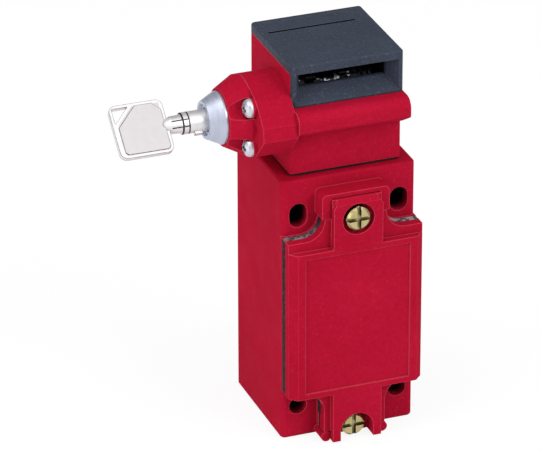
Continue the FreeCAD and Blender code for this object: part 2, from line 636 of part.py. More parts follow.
def make_front_cover():
    body = new_body("front_cover")
    flange = pad(cover_outline(new_sketch(body, "front", FLANGE_BACK)), "cover_flange")
    soften(flange, inner_corners("0", "tab_half"), "fixing_land")
    panel = new_sketch(body, "front", f"{FLANGE} - 1")
    box(panel, f"-{HALF} + 0.01", f"{HALF} - 0.01", COVER_LOW, "panel_top")
    raised = pad(panel, "cover_rise + 1")
    front = size(PLATEAU)

    def upright_front(edge):
        return runs_along(edge, 2) and near(edge.CenterOfMass.y, -front)
    soften(raised, upright_front, "cover_rise - 0.05", "Chamfer")
    tabs = new_sketch(body, "front", f"{FLANGE} - 1")
    box(tabs, "-tab_face", "tab_face", "tab_bottom", "tab_top")
    tab = pad(tabs, "cover_rise + 1")
    half = size("tab_face")
    top = size("tab_top")

    def tab_corners(edge):
        spot = edge.CenterOfMass
        return runs_along(edge, 0) and near(spot.y, -front) and near(spot.z, top)
    soften(tab, tab_corners, "tab_bevel", "Chamfer")
    clips = new_sketch(body, "front", PLATEAU)
    for side in ("-", ""):
        edge_x = f"{side}(tab_face + 0.1)"
        outline(clips, [
            (edge_x, "tab_top - tab_clip"),
            (edge_x, "tab_top + 0.1"),
            (f"{side}(tab_face - 1.7)", "tab_top + 0.1"),
            (f"{side}(tab_face - 1.1)", "tab_top - 0.6"),
        ])
    pocket(clips, "tab_bevel")
    field = new_sketch(body, "front", PLATEAU)
    inset = "panel_half - panel_border"
    box(field, f"-({inset})", inset, f"{COVER_LOW} + panel_border", "panel_top - panel_border")
    pocket(field, "panel_sink")
    recess = new_sketch(body, "front", PLATEAU)
    pocket(circle(recess, "0", "cover_screw_high", "cover_recess"), "upper_sink")
    notch = new_sketch(body, "front", PLATEAU)
    circle(notch, "0", "cover_screw_low", "cover_recess + 0.25")
    pocket(notch, "lower_sink")
    way = new_sketch(body, "front", PLATEAU)
    box(way, "-cover_recess - 0.25", "cover_recess + 0.25", "-1", "cover_screw_low")
    pocket(way, "lower_sink")
    hollow = new_sketch(body, "front", FLANGE_BACK)
    plain_outline(hollow, "wall + 0.6", f"{CAVITY_NECK} - 0.6", "cavity_top - 0.6", "floor_height + 0.6")
    pocket(hollow, "cover_hollow", ahead=True)
    holes = new_sketch(body, "front", PLATEAU)
    for height in ("cover_screw_high", "cover_screw_low"):
        circle(holes, "0", height, "cover_shank + soft_gap")
    pocket(holes, "20")
    return body


def cross_slots(body, face, length, plane, along="0", up="0", count=2):
    """One screwdriver slot or two crossing ones, cut into the face at the given offset."""
    half = "slot_width / 2"
    for wide, high in ((length, half), (half, length))[:count]:
        cutter = new_sketch(body, plane, face, along, up)
        box(cutter, f"-({wide})", wide, f"-({high})", high)
        pocket(cutter, "slot_depth")


def screw_facing_front(label, head_radius, head_thick, shank_radius, shank_length, reach, rounded=True):
    """Template of a screw whose head faces the front and whose seat lies at the origin."""
    edge = [(f"-({head_thick})", f"({head_radius}) * 0.8"), (f"-({head_thick}) * 0.7", head_radius)]
    body = turned(label, "side", [
        (f"-({head_thick})", "0"),
        *(edge if rounded else [(f"-({head_thick})", head_radius)]),
        ("0", head_radius),
        ("0", shank_radius),
        (shank_length, shank_radius),
        (shank_length, "0"),
    ], template=True)
    cross_slots(body, head_thick, reach, "front", count=2 if rounded else 1)
    return body


def make_cover_screws():
    head = ("cover_head_radius", "cover_head_thick", "cover_shank", "cover_screw_length")
    form = screw_facing_front("cover_screw_form", *head, "cover_head_radius + 1")
    return copies("cover_screws", form, [
        ("0", f"-({PLATEAU} - upper_sink)", "cover_screw_high"),
        ("0", f"-({PLATEAU} - lower_sink)", "cover_screw_low"),
    ])


# ---------------------------------------------------------------- head

def make_head_gasket():
    body = new_body("head_gasket")
    plate = new_sketch(body, "top", "body_height")
    box(plate, f"-{HEAD_HALF} + 0.4", f"{HEAD_HALF} - 0.4", f"-{HEAD_FRONT} + 0.4", f"-{HEAD_BACK} - 0.4")
    made = pad(plate, "gasket_head")
    soften(made, lambda edge: runs_along(edge, 2), "body_round")
    holes = new_sketch(body, "top", f"body_height + gasket_head")
    circle(holes, "0", f"-{MIDDLE}", "plunger_radius + 2 * soft_gap")
    for across, back in head_bolt_spots():
        circle(holes, across, back, "head_bolt_radius + soft_gap")
    pocket(holes, "gasket_head + 1")
    return body


def make_head_housing():
    body = new_body("head_housing")
    block = new_sketch(body, "top", HEAD_LOW)
    box(block, f"-{HEAD_HALF}", HEAD_HALF, f"-{HEAD_FRONT}", f"-{HEAD_BACK}")
    made = pad(block, "head_height")
    soften(made, lambda edge: runs_along(edge, 2), "head_round")
    nose = f"{HEAD_FRONT} + bar_proud"
    bar = new_sketch(body, "side", f"-{HEAD_HALF}")
    outline(bar, [
        (f"-({HEAD_FRONT} - head_wall / 2)", "bar_low"),
        (f"-({HEAD_FRONT} + bar_step)", "bar_low"),
        (f"-({nose})", "bar_nose_low"),
        (f"-({nose})", "bar_top"),
        (f"-({HEAD_FRONT} - head_wall / 2)", "bar_top"),
    ])
    raised = pad(bar, "head_width")
    front = size(nose)
    low = size("bar_nose_low")

    def nose_edge(edge):
        return runs_along(edge, 0) and near(edge.CenterOfMass.y, -front)
    eased = soften(raised, lambda edge: nose_edge(edge) and near(edge.CenterOfMass.z, low), "bar_low_round")
    soften(eased, lambda edge: nose_edge(edge) and edge.CenterOfMass.z > low + 2, "bar_round")
    cavity = new_sketch(body, "top", HEAD_TOP)
    box(cavity, f"-{HEAD_INNER}", HEAD_INNER, f"-({HEAD_FRONT} - head_wall)", f"-({HEAD_BACK} + head_wall)")
    hollow = pocket(cavity, "head_height - head_floor")
    inner = size(HEAD_INNER)

    def inner_corner(edge):
        return runs_along(edge, 2) and near(abs(edge.CenterOfMass.x), inner)
    soften(hollow, inner_corner, "cap_round * 2")
    entry = new_sketch(body, "front", f"{HEAD_FRONT} - head_wall - 1.45")
    box(entry, "-notch_half", "notch_half", "bar_top", f"{HEAD_TOP} + 1")
    pocket(entry, "head_wall + 8", ahead=True)
    floor = new_sketch(body, "top", f"{HEAD_LOW} + head_floor")
    circle(floor, "0", f"-{MIDDLE}", "bush_body + thread_play")
    for across, back in head_bolt_spots():
        circle(floor, across, back, "head_bolt_radius + thread_play")
    pocket(floor, "head_floor + 1")
    lock_way = new_sketch(body, "side", f"-{HEAD_HALF}")
    circle(lock_way, "-lock_back", "lock_height", LOCK_TAIL)
    for back, up in inner_screw_spots():
        circle(lock_way, back, up, "lock_screw_shank + thread_play")
    pocket(lock_way, "head_wall + 0.5", ahead=True)
    bearing = new_sketch(body, "side", f"-{HEAD_INNER} - shaft_seat")
    circle(bearing, f"-{MIDDLE}", "cam_height", "shaft_radius + thread_play")
    pocket(bearing, f"2 * ({HEAD_INNER} + shaft_seat)", ahead=True)
    return body


def inner_screw_spots():
    """Screws from inside the head into the lock housing, clear of shaft and crank."""
    spots = []
    for angle in ("95", "330"):
        spots.append((f"-lock_back + inner_screw_circle * cos({angle})",
                      f"lock_height + inner_screw_circle * sin({angle})"))
    return spots


def make_head_screws():
    seat = f"{HEAD_LOW} + head_floor"
    head = "head_screw_head"
    form = turned("head_screw_form", "front", [
        ("-(head_floor + gasket_head + head_bolt_depth)", "0"),
        ("-(head_floor + gasket_head + head_bolt_depth)", "head_bolt_radius"),
        ("0", "head_bolt_radius"),
        ("0", head),
        ("head_screw_thick", head),
        ("head_screw_thick", "0"),
    ], axis="V_Axis", template=True)
    return copies("head_screws", form, [(across, back, seat) for across, back in head_bolt_spots()])


def make_guide_cap():
    body = new_body("tongue_guide_cap")
    plate = new_sketch(body, "top", HEAD_TOP)
    box(plate, f"-{HEAD_HALF}", HEAD_HALF, f"-{CAP_FRONT}", f"-{HEAD_BACK}")
    pad(plate, "cap_thick")
    front = new_sketch(body, "top", "bar_top")
    box(front, f"-{HEAD_HALF}", HEAD_HALF, f"-{CAP_FRONT}", f"-({HEAD_FRONT} + cap_play)")
    made = pad(front, f"{HEAD_TOP} + 1 - bar_top")
    ends = (-size(CAP_FRONT), -size(HEAD_BACK))

    def outer_corner(edge):
        return runs_along(edge, 2) and any(near(edge.CenterOfMass.y, end) for end in ends)
    upright = soften(made, outer_corner, "head_round")
    top = size(CAP_TOP)
    soften(upright, lambda edge: near(edge.CenterOfMass.z, top), "cap_round")
    for side, front, back in (("notch_half", "-0.5", "head_wall"), (HEAD_INNER, "1", "nose_reach")):
        nose = new_sketch(body, "top", "bar_top")
        half = f"{side} - cap_play"
        box(nose, f"-({half})", half, f"-({HEAD_FRONT} - ({front}))", f"-({HEAD_FRONT} - {back})")
        pad(nose, f"{HEAD_TOP} + 1 - bar_top")
    mouth = new_sketch(body, "front", CAP_FRONT)
    box(mouth, "-mouth_half", "mouth_half", "bar_top + mouth_lip", f"{CAP_TOP} - mouth_roof")
    throat = new_sketch(body, "front", f"{CAP_FRONT} - funnel_depth")
    box(throat, "-entry_half", "entry_half", ENTRY_LOW, ENTRY_TOP)
    feature(mouth, "SubtractiveLoft", Sections=[throat], Ruled=True)
    doc.recompute()
    channel = new_sketch(body, "front", f"{CAP_FRONT} - funnel_depth + 0.01")
    box(channel, "-entry_half", "entry_half", ENTRY_LOW, ENTRY_TOP)
    pocket(channel, f"{CAP_FRONT} - funnel_depth - {HEAD_BACK} - 4")
    slot_cut = new_sketch(body, "top", CAP_TOP)
    plug_outline(slot_cut, "0", "0")
    pocket(slot_cut, "plug_thick")
    way = new_sketch(body, "top", CAP_TOP)
    plug_outline(way, "1.6", "0")
    pocket(way, "cap_thick + 1")
    return body


def plug_outline(sketch, inset, groove):
    """The upper slot seen from above, its front edge moved back by the groove."""
    left = f"top_slot_middle - entry_half + ({inset})"
    right = f"top_slot_middle + entry_half - ({inset})"
    front = f"-({HEAD_BACK} + top_slot_front) + ({groove})"
    back = f"-({HEAD_BACK} + top_slot_back) - ({inset})"
    return box(sketch, left, right, front, back)


def make_slot_plug():
    body = new_body("top_slot_plug")
    plate = new_sketch(body, "top", f"{CAP_TOP} - plug_thick")
    pad(plug_outline(plate, "plug_gap", "groove_width"), "plug_thick")
    leg = new_sketch(body, "top", f"{CAP_TOP} - plug_thick")
    pad(plug_outline(leg, "1.6 + plug_gap", "groove_width"), "cap_thick - plug_thick - entry_gap",
        back=True)
    return body


# ---------------------------------------------------------------- cam and its shaft

def make_cam_shaft():
    reach = f"{HEAD_INNER} + shaft_seat"
    return turned("cam_shaft", "front", [
        (f"-({reach})", "0"), (f"-({reach})", "shaft_radius"), (reach, "shaft_radius"), (reach, "0"),
    ], offset=MIDDLE, up="cam_height")


def make_cam_bushes():
    """Plastic spacers that keep the cam midway between the cheeks."""
    bore = "shaft_radius + running_play"
    disc_end = "disc_face + disc_thick"
    left = turned("left_bush_form", "front", [
        (f"-({HEAD_INNER} - 0.1)", bore), (f"-({HEAD_INNER} - 0.1)", "bush_radius"),
        (f"-({disc_end} + running_play)", "bush_radius"), (f"-({disc_end} + running_play)", bore),
    ], template=True)
    right = turned("right_bush_form", "front", [
        (f"claw_inner + claw_thick + running_play", bore),
        (f"claw_inner + claw_thick + running_play", "bush_radius - cam_spring_wire * 2 + 0.4"),
        (f"{HEAD_INNER} - 0.1", "bush_radius - cam_spring_wire * 2 + 0.4"), (f"{HEAD_INNER} - 0.1", bore),
    ], template=True)
    shapes = [left.Shape.copy(), right.Shape.copy()]
    for shape in shapes:
        shape.translate(FreeCAD.Vector(0, -size(MIDDLE), size("cam_height")))
    return shape_node("cam_bushes", shapes)


def lift_profile():
    """Face of the lift cam about the shaft: its radius falls evenly as the cam turns."""
    turn = math.radians(size("cam_travel"))
    large = size("lift_large")
    small = large - size("lift_rate") * turn
    lowest = math.radians(270)

    def spot(radius, angle):
        return FreeCAD.Vector(0, radius * math.cos(angle), radius * math.sin(angle))
    steps = 6
    spiral = [spot(large - (large - small) * i / steps, lowest + turn * i / steps) for i in range(steps + 1)]
    curve = Part.BSplineCurve()
    curve.interpolate(spiral)
    base = math.radians(205)
    half_way = (lowest + turn + base + 2 * math.pi) / 2
    back = Part.Arc(spiral[-1], spot(small, half_way), spot(small, base)).toShape()
    rise = Part.makeLine(spot(small, base), spot(large, lowest - 0.35))
    dwell = Part.Arc(spot(large, lowest - 0.35), spot(large, lowest - 0.17), spiral[0]).toShape()
    return Part.Wire([curve.toShape(), back, rise, dwell])


def make_drive_cam():
    """Hub with two claw discs, the lift cam between them and the locking disc at the left."""
    axis = FreeCAD.Vector(1, 0, 0)
    here = FreeCAD.Vector(0, -size(MIDDLE), size("cam_height"))

    def cylinder(radius, start, end, centre=FreeCAD.Vector()):
        return Part.makeCylinder(radius, end - start, FreeCAD.Vector(start, centre.y, centre.z), axis)
    inner = size("claw_inner")
    outer = inner + size("claw_thick")
    claws = cylinder(size("claw_radius"), -outer, -inner).fuse(cylinder(size("claw_radius"), inner, outer))
    gap = size("claw_slot")
    root = size("claw_root")
    for angle in (size("claw_angle"), size("claw_angle") - 90):
        cutter = Part.makeBox(2 * outer + 2, 2 * root, gap, FreeCAD.Vector(-outer - 1, root, -gap / 2))
        cutter = cutter.fuse(cylinder(gap / 2, -outer - 1, outer + 1, FreeCAD.Vector(0, root, 0)))
        cutter.rotate(FreeCAD.Vector(), axis, angle)
        claws = claws.cut(cutter)
    corner = FreeCAD.Vector(-outer - 1, -2 * root, -3.1 * root)
    underside = Part.makeBox(2 * outer + 2, 4 * root, 2 * root, corner)
    claws = claws.cut(underside)
    lift = Part.Face(lift_profile()).extrude(axis * size("lift_thick"))
    lift.translate(axis * (-size("lift_thick") / 2))
    near_face = -size("disc_face")
    far_face = near_face - size("disc_thick")
    disc = cylinder(size("disc_radius"), far_face, near_face)
    lock = FreeCAD.Vector(0, -size("lock_back"), size("lock_height")) - here
    throw = size("crank_throw")
    room = size("crank_pin") + size("soft_gap")
    away = math.degrees(math.atan2(lock.z, lock.y))
    for turned_cam in (0, size("cam_travel")):
        ring = Part.makeCylinder(throw + room, 4, FreeCAD.Vector(far_face - 1, 0, 0), axis, 112)
        ring = ring.cut(Part.makeCylinder(throw - room, 4, FreeCAD.Vector(far_face - 1, 0, 0), axis, 360))
        ring.rotate(FreeCAD.Vector(), axis, away - 90)
        ring.translate(FreeCAD.Vector(0, lock.y, lock.z))
        ring.rotate(FreeCAD.Vector(), axis, turned_cam)
        disc = disc.cut(ring)
    hub = cylinder(size("cam_hub"), far_face, outer)
    cam = hub.multiFuse([claws, lift, disc]).cut(
        cylinder(size("shaft_radius") + size("running_play"), far_face - 1, outer + 1)).removeSplitter()
    cam.translate(here)
    return shape_node("drive_cam", [cam])


# ---------------------------------------------------------------- lock

def lock_turned(label, profile, template=False):
    """Piece turned about the lock axis; the profile starts at the key's side."""
    return turned(label, "front", profile, offset="lock_back", up="lock_height", template=template)


def make_lock_housing():
    body = new_body("lock_housing")
    start = "-lock_flange"
    length = f"lock_flange - {HEAD_HALF}"
    pad(circle(new_sketch(body, "side", start), "-lock_back", "lock_height", "lock_radius"), length)
    bar = new_sketch(body, "side", start)
    front = "lock_back + lock_nose_front"
    outline(bar, [
        ("-lock_back", "lock_height - lock_radius + 0.6"),
        ("-(lock_back + lock_radius - 1)", "lock_height - lock_radius + 2.6"),
        (f"-({front})", "lock_height - 1.6"),
        (f"-({front} - 0.4)", "lock_height + 2.4"),
        ("-(lock_back + lock_radius)", "lock_height + 5"),
        ("-lock_back", "lock_height + lock_radius - 1"),
    ])
    pad(bar, length)
    shoulder = new_sketch(body, "side", start)
    lug_back = "lock_back + lock_screw_forward"
    lug_up = "lock_height + lock_screw_up"
    outline(shoulder, [
        ("-lock_back", "lock_height"),
        ("-(lock_back + 3.2)", "lock_height + sqrt(lock_radius^2 - 3.2^2) - 0.02"),
        (f"-({lug_back} + 0.3 * screw_lug)", f"{lug_up} + 0.95 * screw_lug"),
        (f"-({lug_back} + 0.73 * screw_lug)", f"{lug_up} + 0.68 * screw_lug"),
        (f"-({front} - 0.4)", "lock_height + 2.4"),
    ])
    pad(shoulder, length)
    for end in "+-":
        lug = new_sketch(body, "side", start)
        circle(lug, "-(lock_back + lock_screw_forward)", f"lock_height {end} lock_screw_up", "screw_lug")
        pad(lug, length)
    bore = new_sketch(body, "side", start)
    circle(bore, "-lock_back", "lock_height", "barrel_radius + barrel_play")
    pocket(bore, f"{length} - 2", ahead=True)
    tail = new_sketch(body, "side", start)
    pocket(circle(tail, "-lock_back", "lock_height", LOCK_TAIL), "lock_flange", ahead=True)
    threads = new_sketch(body, "side", start)
    for end in "+-":
        circle(threads, "-(lock_back + lock_screw_forward)", f"lock_height {end} lock_screw_up",
               "lock_screw_shank + thread_play")
    pocket(threads, "lock_thread + 0.5", ahead=True)
    inner = new_sketch(body, "side", f"-{HEAD_HALF}")
    for back, up in inner_screw_spots():
        circle(inner, back, up, "lock_screw_shank + thread_play")
    pocket(inner, "lock_thread")
    return body


def make_lock_nose():
    """Cover of the lock: a round nose with a flat on its front and notches for the two screws."""
    body = new_body("lock_nose")
    sketch = new_sketch(body, "front", "lock_back", "0", "lock_height")
    outline(sketch, [
        ("-lock_flange", "barrel_radius + barrel_play"),
        ("-lock_flange", "lock_radius"),
        ("-(lock_flange + nose_straight)", "lock_radius"),
        ("-nose_end", "nose_small"),
        ("-nose_end", "barrel_radius + barrel_play"),
    ])
    revolve(sketch)
    plate = new_sketch(body, "side", "-lock_flange - nose_plate")
    for end in "+-":
        circle(plate, "-(lock_back + lock_screw_forward)", f"lock_height {end} lock_screw_up", "screw_lug")
    pad(plate, "nose_plate")
    flat = new_sketch(body, "top", "lock_height - lock_screw_up")
    outline(flat, [
        ("-lock_flange", "-(lock_back + barrel_radius + 1)"),
        ("-lock_flange", "-(lock_back + lock_radius)"),
        ("-nose_end", "-(lock_back + nose_small)"),
        ("-nose_end", "-(lock_back + barrel_radius + 1)"),
    ])
    pad(flat, "lock_screw_up + 3.4")
    room = new_sketch(body, "side", "-lock_flange - nose_plate")
    for end in "+-":
        circle(room, "-(lock_back + lock_screw_forward)", f"lock_height {end} lock_screw_up",
               "lock_screw_head + soft_gap")
    pocket(room, "20")
    holes = new_sketch(body, "side", "-lock_flange + 1")
    for end in "+-":
        circle(holes, "-(lock_back + lock_screw_forward)", f"lock_height {end} lock_screw_up",
               "lock_screw_shank + thread_play")
    pocket(holes, "20")
    bore = new_sketch(body, "side", "-lock_flange + 1")
    pocket(circle(bore, "-lock_back", "lock_height", "barrel_radius + barrel_play"), "20")
    return body


def make_lock_screws():
    form = turned("lock_screw_form", "front", [
        ("-lock_screw_thick", "0"),
        ("-lock_screw_thick", "lock_screw_head * 0.5"),
        ("-lock_screw_thick * 0.7", "lock_screw_head * 0.88"),
        ("-lock_screw_thick * 0.3", "lock_screw_head"),
        ("0", "lock_screw_head"),
        ("0", "lock_screw_shank"),
        ("lock_thread", "lock_screw_shank"),
        ("lock_thread", "0"),
    ], template=True)
    half = "slot_width * 0.4"
    reach = "lock_screw_head * 0.55"
    for wide, high in ((half, reach), (reach, half)):
        cutter = new_sketch(form, "side", "-lock_screw_thick")
        box(cutter, f"-({wide})", wide, f"-({high})", high)
        pocket(cutter, "slot_depth", ahead=True)
    forward = "-(lock_back + lock_screw_forward)"
    return copies("lock_nose_screws", form, [
        ("-lock_flange - nose_plate", forward, f"lock_height {end} lock_screw_up") for end in "+-"])


def make_inner_screws():
    form = turned("inner_screw_form", "front", [
        ("-(head_wall + lock_thread - 2)", "0"),
        ("-(head_wall + lock_thread - 2)", "lock_screw_shank"),
        ("0", "lock_screw_shank"),
        ("0", "lock_screw_head * 0.8"),
        ("1.5", "lock_screw_head * 0.8"),
        ("1.5", "0"),
    ], template=True)
    spots = [(f"-{HEAD_INNER}", back, up) for back, up in inner_screw_spots()]
    return copies("lock_housing_screws", form, spots)


def make_lock():
    lock_turned("lock_bezel", [
        ("-nose_end", "key_bore"),
        ("-nose_end", "bezel_large"),
        ("-(nose_end + 0.7)", "bezel_large"),
        ("-bezel_end", "bezel_small"),
        ("-bezel_end", "bezel_small - 0.9"),
        ("-(bezel_end - 0.8)", "bezel_small - 1.2"),
        ("-(bezel_end - 0.8)", "key_bore"),
    ])
    rotor_face = "key_start - 0.6"
    lock_turned("lock_barrel", [
        ("-nose_end", "key_bore"),
        ("-nose_end", "barrel_radius"),
        (f"-({HEAD_HALF} + 2)", "barrel_radius"),
        (f"-({HEAD_HALF} + 2)", "rotor_radius + running_play"),
        (f"-({rotor_face} + 0.1)", "rotor_radius + running_play"),
        (f"-({rotor_face} + 0.1)", "key_bore"),
    ])
    lock_turned("lock_rotor", [
        ("-(bezel_end - 1)", "0"),
        ("-(bezel_end - 1)", "post_radius"),
        (f"-({rotor_face})", "post_radius"),
        (f"-({rotor_face})", "rotor_radius"),
        (f"-({HEAD_HALF} + 2.1)", "rotor_radius"),
        (f"-({HEAD_HALF} + 2.1)", "tail_radius"),
        ("-crank_face", "tail_radius"),
        ("-crank_face", "crank_post"),
        ("-(crank_face - crank_thick - 0.9)", "crank_post"),
        ("-(crank_face - crank_thick - 0.9)", "0"),
    ])
    lock_turned("crank_clip", [
        ("-(crank_face - crank_thick)", "crank_post"),
        ("-(crank_face - crank_thick)", "crank_hub"),
        ("-(crank_face - crank_thick - 0.6)", "crank_hub"),
        ("-(crank_face - crank_thick - 0.6)", "crank_post"),
    ])


def make_lock_crank():
    """Crank on the rotor's tail; at rest its pin points away from the cam shaft."""
    body = new_body("lock_crank")
    up = "(cam_height - lock_height)"
    back = f"(lock_back - {MIDDLE})"
    reach = f"sqrt({up}^2 + {back}^2)"
    along = f"(-{back} / {reach})"
    rise = f"(-{up} / {reach})"
    tip_back = f"-lock_back + crank_throw * {along}"
    tip_up = f"lock_height + crank_throw * {rise}"
    hub = new_sketch(body, "side", "-crank_face")
    pad(circle(hub, "-lock_back", "lock_height", "crank_hub"), "crank_thick")
    eye = new_sketch(body, "side", "-crank_face")
    pad(circle(eye, tip_back, tip_up, "crank_pin + 0.2"), "crank_thick")
    arm = new_sketch(body, "side", "-crank_face")
    half = "(crank_pin + 0.2)"
    outline(arm, [
        (f"-lock_back - {half} * {rise}", f"lock_height + {half} * {along}"),
        (f"{tip_back} - {half} * {rise}", f"{tip_up} + {half} * {along}"),
        (f"{tip_back} + {half} * {rise}", f"{tip_up} - {half} * {along}"),
        (f"-lock_back + {half} * {rise}", f"lock_height - {half} * {along}"),
    ])
    pad(arm, "crank_thick")
    finger = new_sketch(body, "side", "-crank_face")
    pad(circle(finger, tip_back, tip_up, "crank_pin"), "crank_face - disc_face + 0.2")
    hole = new_sketch(body, "side", "-crank_face")
    pocket(circle(hole, "-lock_back", "lock_height", "crank_post"), "crank_thick + 5", ahead=True)
    return body


def make_key():
    """Tubular key with a flat bow, turned about the lock axis as it sits in the lock."""
    body = new_body("key")
    sketch = new_sketch(body, "front", "lock_back", "0", "lock_height")
    outline(sketch, [
        ("-key_start", "key_hollow"),
        ("-key_start", "key_tube"),
        ("-key_tube_end", "key_tube"),
        ("-(key_tube_end + 0.5)", "key_tube - 0.5"),
        ("-(key_neck_end - 2.2)", "key_tube - 0.6"),
        ("-key_neck_end", "key_hollow - 1"),
        ("-key_neck_end", "0"),
        ("-(key_tube_end - 1.2)", "0"),
        ("-(key_tube_end - 1.2)", "key_hollow"),
    ])
    revolve(sketch)
    nib = bow_sketch(body, "-nib_width / 2")
    pad(box(nib, "-nib_end", "-nib_start", "-nib_reach", "-(key_tube - 0.4)"), "nib_width")
    plate = bow_sketch(body, "-bow_thick / 2 + panel_raise")
    blank = pad(box(plate, "-bow_end", "-bow_start", "-bow_half", "bow_half"), "bow_thick - 2 * panel_raise")
    ends = [size("bow_end"), size("bow_start")]
    width = size("bow_thick - 2 * panel_raise")

    def upright_corners(edge):
        across = edge.CenterOfMass.x
        at_end = near(across, -ends[0]) or near(across, -ends[1])
        straight = isinstance(edge.Curve, Part.Line)
        return straight and at_end and near(edge.Length, width)
    soften(blank, upright_corners, "bow_round")
    field = bow_sketch(body, "-bow_thick / 2")
    left = "-(bow_end - bow_edge)"
    right = "-(bow_start + bow_edge * 0.6)"
    high = "(bow_half - bow_edge * 0.6)"
    outline(field, [
        (f"{left} + 0.8", f"-{high}"),
        (f"{right} - 0.8", f"-{high}"),
        (right, f"-{high} + 0.8"),
        (right, f"{high} - 2.2"),
        (f"{right} - 2.2", high),
        (f"{left} + ring_hole + 1.4", high),
        (left, f"{high} - ring_hole - 1.4"),
        (left, f"-{high} + 0.8"),
    ])
    pad(field, "bow_thick")
    hole = bow_sketch(body, "-bow_thick")
    outline(hole, [
        ("-(bow_end - 0.9)", "bow_half - 0.9"),
        ("-(bow_end - 0.9)", "bow_half - 0.9 - ring_hole"),
        ("-(bow_end - 0.9 - ring_hole)", "bow_half - 0.9"),
    ])
    pocket(hole, "2 * bow_thick", ahead=True)
    return body


def bow_sketch(body, offset):
    """Sketch in the plane of the key's bow, moved along the bow's thickness."""
    sketch = new_sketch(body, "front")
    turn = FreeCAD.Rotation(FreeCAD.Vector(-1, 0, 0), size("bow_turn"))
    sketch.AttachmentOffset = FreeCAD.Placement(FreeCAD.Vector(0, 0, 0), turn)
    bind(sketch, "AttachmentOffset.Rotation.Angle", "bow_turn")
    bind(sketch, "AttachmentOffset.Base.y", f"lock_height + ({offset}) * sin(bow_turn)")
    bind(sketch, "AttachmentOffset.Base.z", f"lock_back + ({offset}) * cos(bow_turn)")
    doc.recompute()
    return sketch


# ---------------------------------------------------------------- plunger and contacts

def upright_turned(label, profile):
    """Piece turned about the upright axis of the plunger."""
    return turned(label, "front", profile, offset=MIDDLE, axis="V_Axis")


def make_plunger_parts():
    plunger = upright_turned("plunger", [
        ("plunger_foot", "0"),
        ("plunger_foot", "plunger_radius"),
        (f"{TIP} - 2.6", "plunger_radius"),
        (f"{TIP} - 2.2", "plunger_tip"),
        (TIP, "plunger_tip"),
        (TIP, "0"),
    ])
    top = size(TIP)
    soften(plunger.Tip, lambda edge: near(edge.BoundBox.ZMin, top) and near(edge.BoundBox.ZMax, top),
           "plunger_tip - 0.1")
    bore = "plunger_radius + running_play"
    upright_turned("plunger_bush", [
        (HEAD_LOW, bore),
        (HEAD_LOW, "bush_body"),
        (f"{HEAD_LOW} + head_floor", "bush_body"),
        (f"{HEAD_LOW} + head_floor", "bush_flange"),
        (f"{HEAD_LOW} + head_floor + 1.2", "bush_flange"),
        (f"{HEAD_LOW} + head_floor + 1.2", bore),
    ])
    upright_turned("plunger_seal", [
        ("body_height - seal_thick", "plunger_radius + soft_gap"),
        ("body_height - seal_thick", "seal_radius"),
        ("body_height", "seal_radius"),
        ("body_height", "plunger_radius + soft_gap + 0.6"),
        ("body_height - 0.5", "plunger_radius + soft_gap"),
    ])


def pole_heights():
    """Formula for each bridge's underside, from the lowest pole up."""
    return [f"pole_low + {index} * pole_pitch" for index in range(round(size("pole_count")))]


def make_contact_block():
    body = new_body("contact_block")
    block = new_sketch(body, "top", "block_low")
    box(block, "-block_half", "block_half", "-block_front", "-block_back")
    made = pad(block, "block_top - block_low")
    soften(made, lambda edge: runs_along(edge, 2), "edge_round")
    channel = new_sketch(body, "top", "block_top")
    side = "carrier_half + soft_gap"
    reach = "carrier_depth / 2 + soft_gap"
    box(channel, f"-({side})", side, f"-{MIDDLE} - ({reach})", f"-{MIDDLE} + {reach}")
    pocket(channel, "block_top - block_low - block_floor")
    window = new_sketch(body, "top", "block_top")
    side = "bridge_half + soft_gap"
    reach = "bridge_width / 2 + soft_gap"
    box(window, f"-({side})", side, f"-{MIDDLE} - ({reach})", f"-{MIDDLE} + {reach}")
    pocket(window, "block_top - pole_low + 1")
    strips = new_sketch(body, "front", "block_front")
    screws = new_sketch(body, "front", "block_front")
    for height in pole_heights():
        low = f"{height} + {CONTACT_HEIGHT}"
        for side in ("-", ""):
            inner, outer = f"{side}(strip_inner - 0.2)", f"{side}(strip_outer + 0.1)"
            box(strips, inner, outer, low, f"{low} + strip_thick")
            spot = (f"{side}terminal_across", f"{low} - plate_half - 0.4")
            circle(screws, *spot, "terminal_screw + thread_play")
    pocket(strips, f"block_front - {MIDDLE} + {reach}")
    pocket(screws, "terminal_reach")
    mount = new_sketch(body, "front", "block_front")
    seat = new_sketch(body, "front", "block_front")
    for side in ("-", ""):
        circle(mount, f"{side}block_screw", "block_screw_height", "terminal_screw + thread_play")
        circle(seat, f"{side}block_screw", "block_screw_height", "terminal_head + soft_gap")
    pocket(mount, "block_front")
    pocket(seat, "block_front - block_screw_seat")
    return body


def make_carrier():
    body = new_body("contact_carrier")
    block = new_sketch(body, "top", "carrier_low")
    reach = "carrier_depth / 2"
    box(block, "-carrier_half", "carrier_half", f"-{MIDDLE} - {reach}", f"-{MIDDLE} + {reach}")
    made = pad(block, "plunger_foot - carrier_low")
    soften(made, lambda edge: runs_along(edge, 2), "edge_round")
    windows = new_sketch(body, "side", "-carrier_half - 1")
    half = "bridge_width / 2 + thread_play"
    for height in pole_heights():
        box(windows, f"-{MIDDLE} - ({half})", f"-{MIDDLE} + {half}", height, f"{height} + bridge_thick + 3")
    pocket(windows, "2 * carrier_half + 2", ahead=True)
    return body


def cuboid(left, right, front, back, low, high):
    """Block between pairs of formulas; front and back are distances from the mounting face."""
    corner = FreeCAD.Vector(min(size(left), size(right)), -size(front), size(low))
    wide, deep, tall = abs(size(right) - size(left)), size(front) - size(back), size(high) - size(low)
    return Part.makeBox(wide, deep, tall, corner)


def rivet(across, low, high):
    centre = FreeCAD.Vector(size(across), -size(MIDDLE), size(low))
    return Part.makeCylinder(size("rivet_radius"), size(high) - size(low), centre)


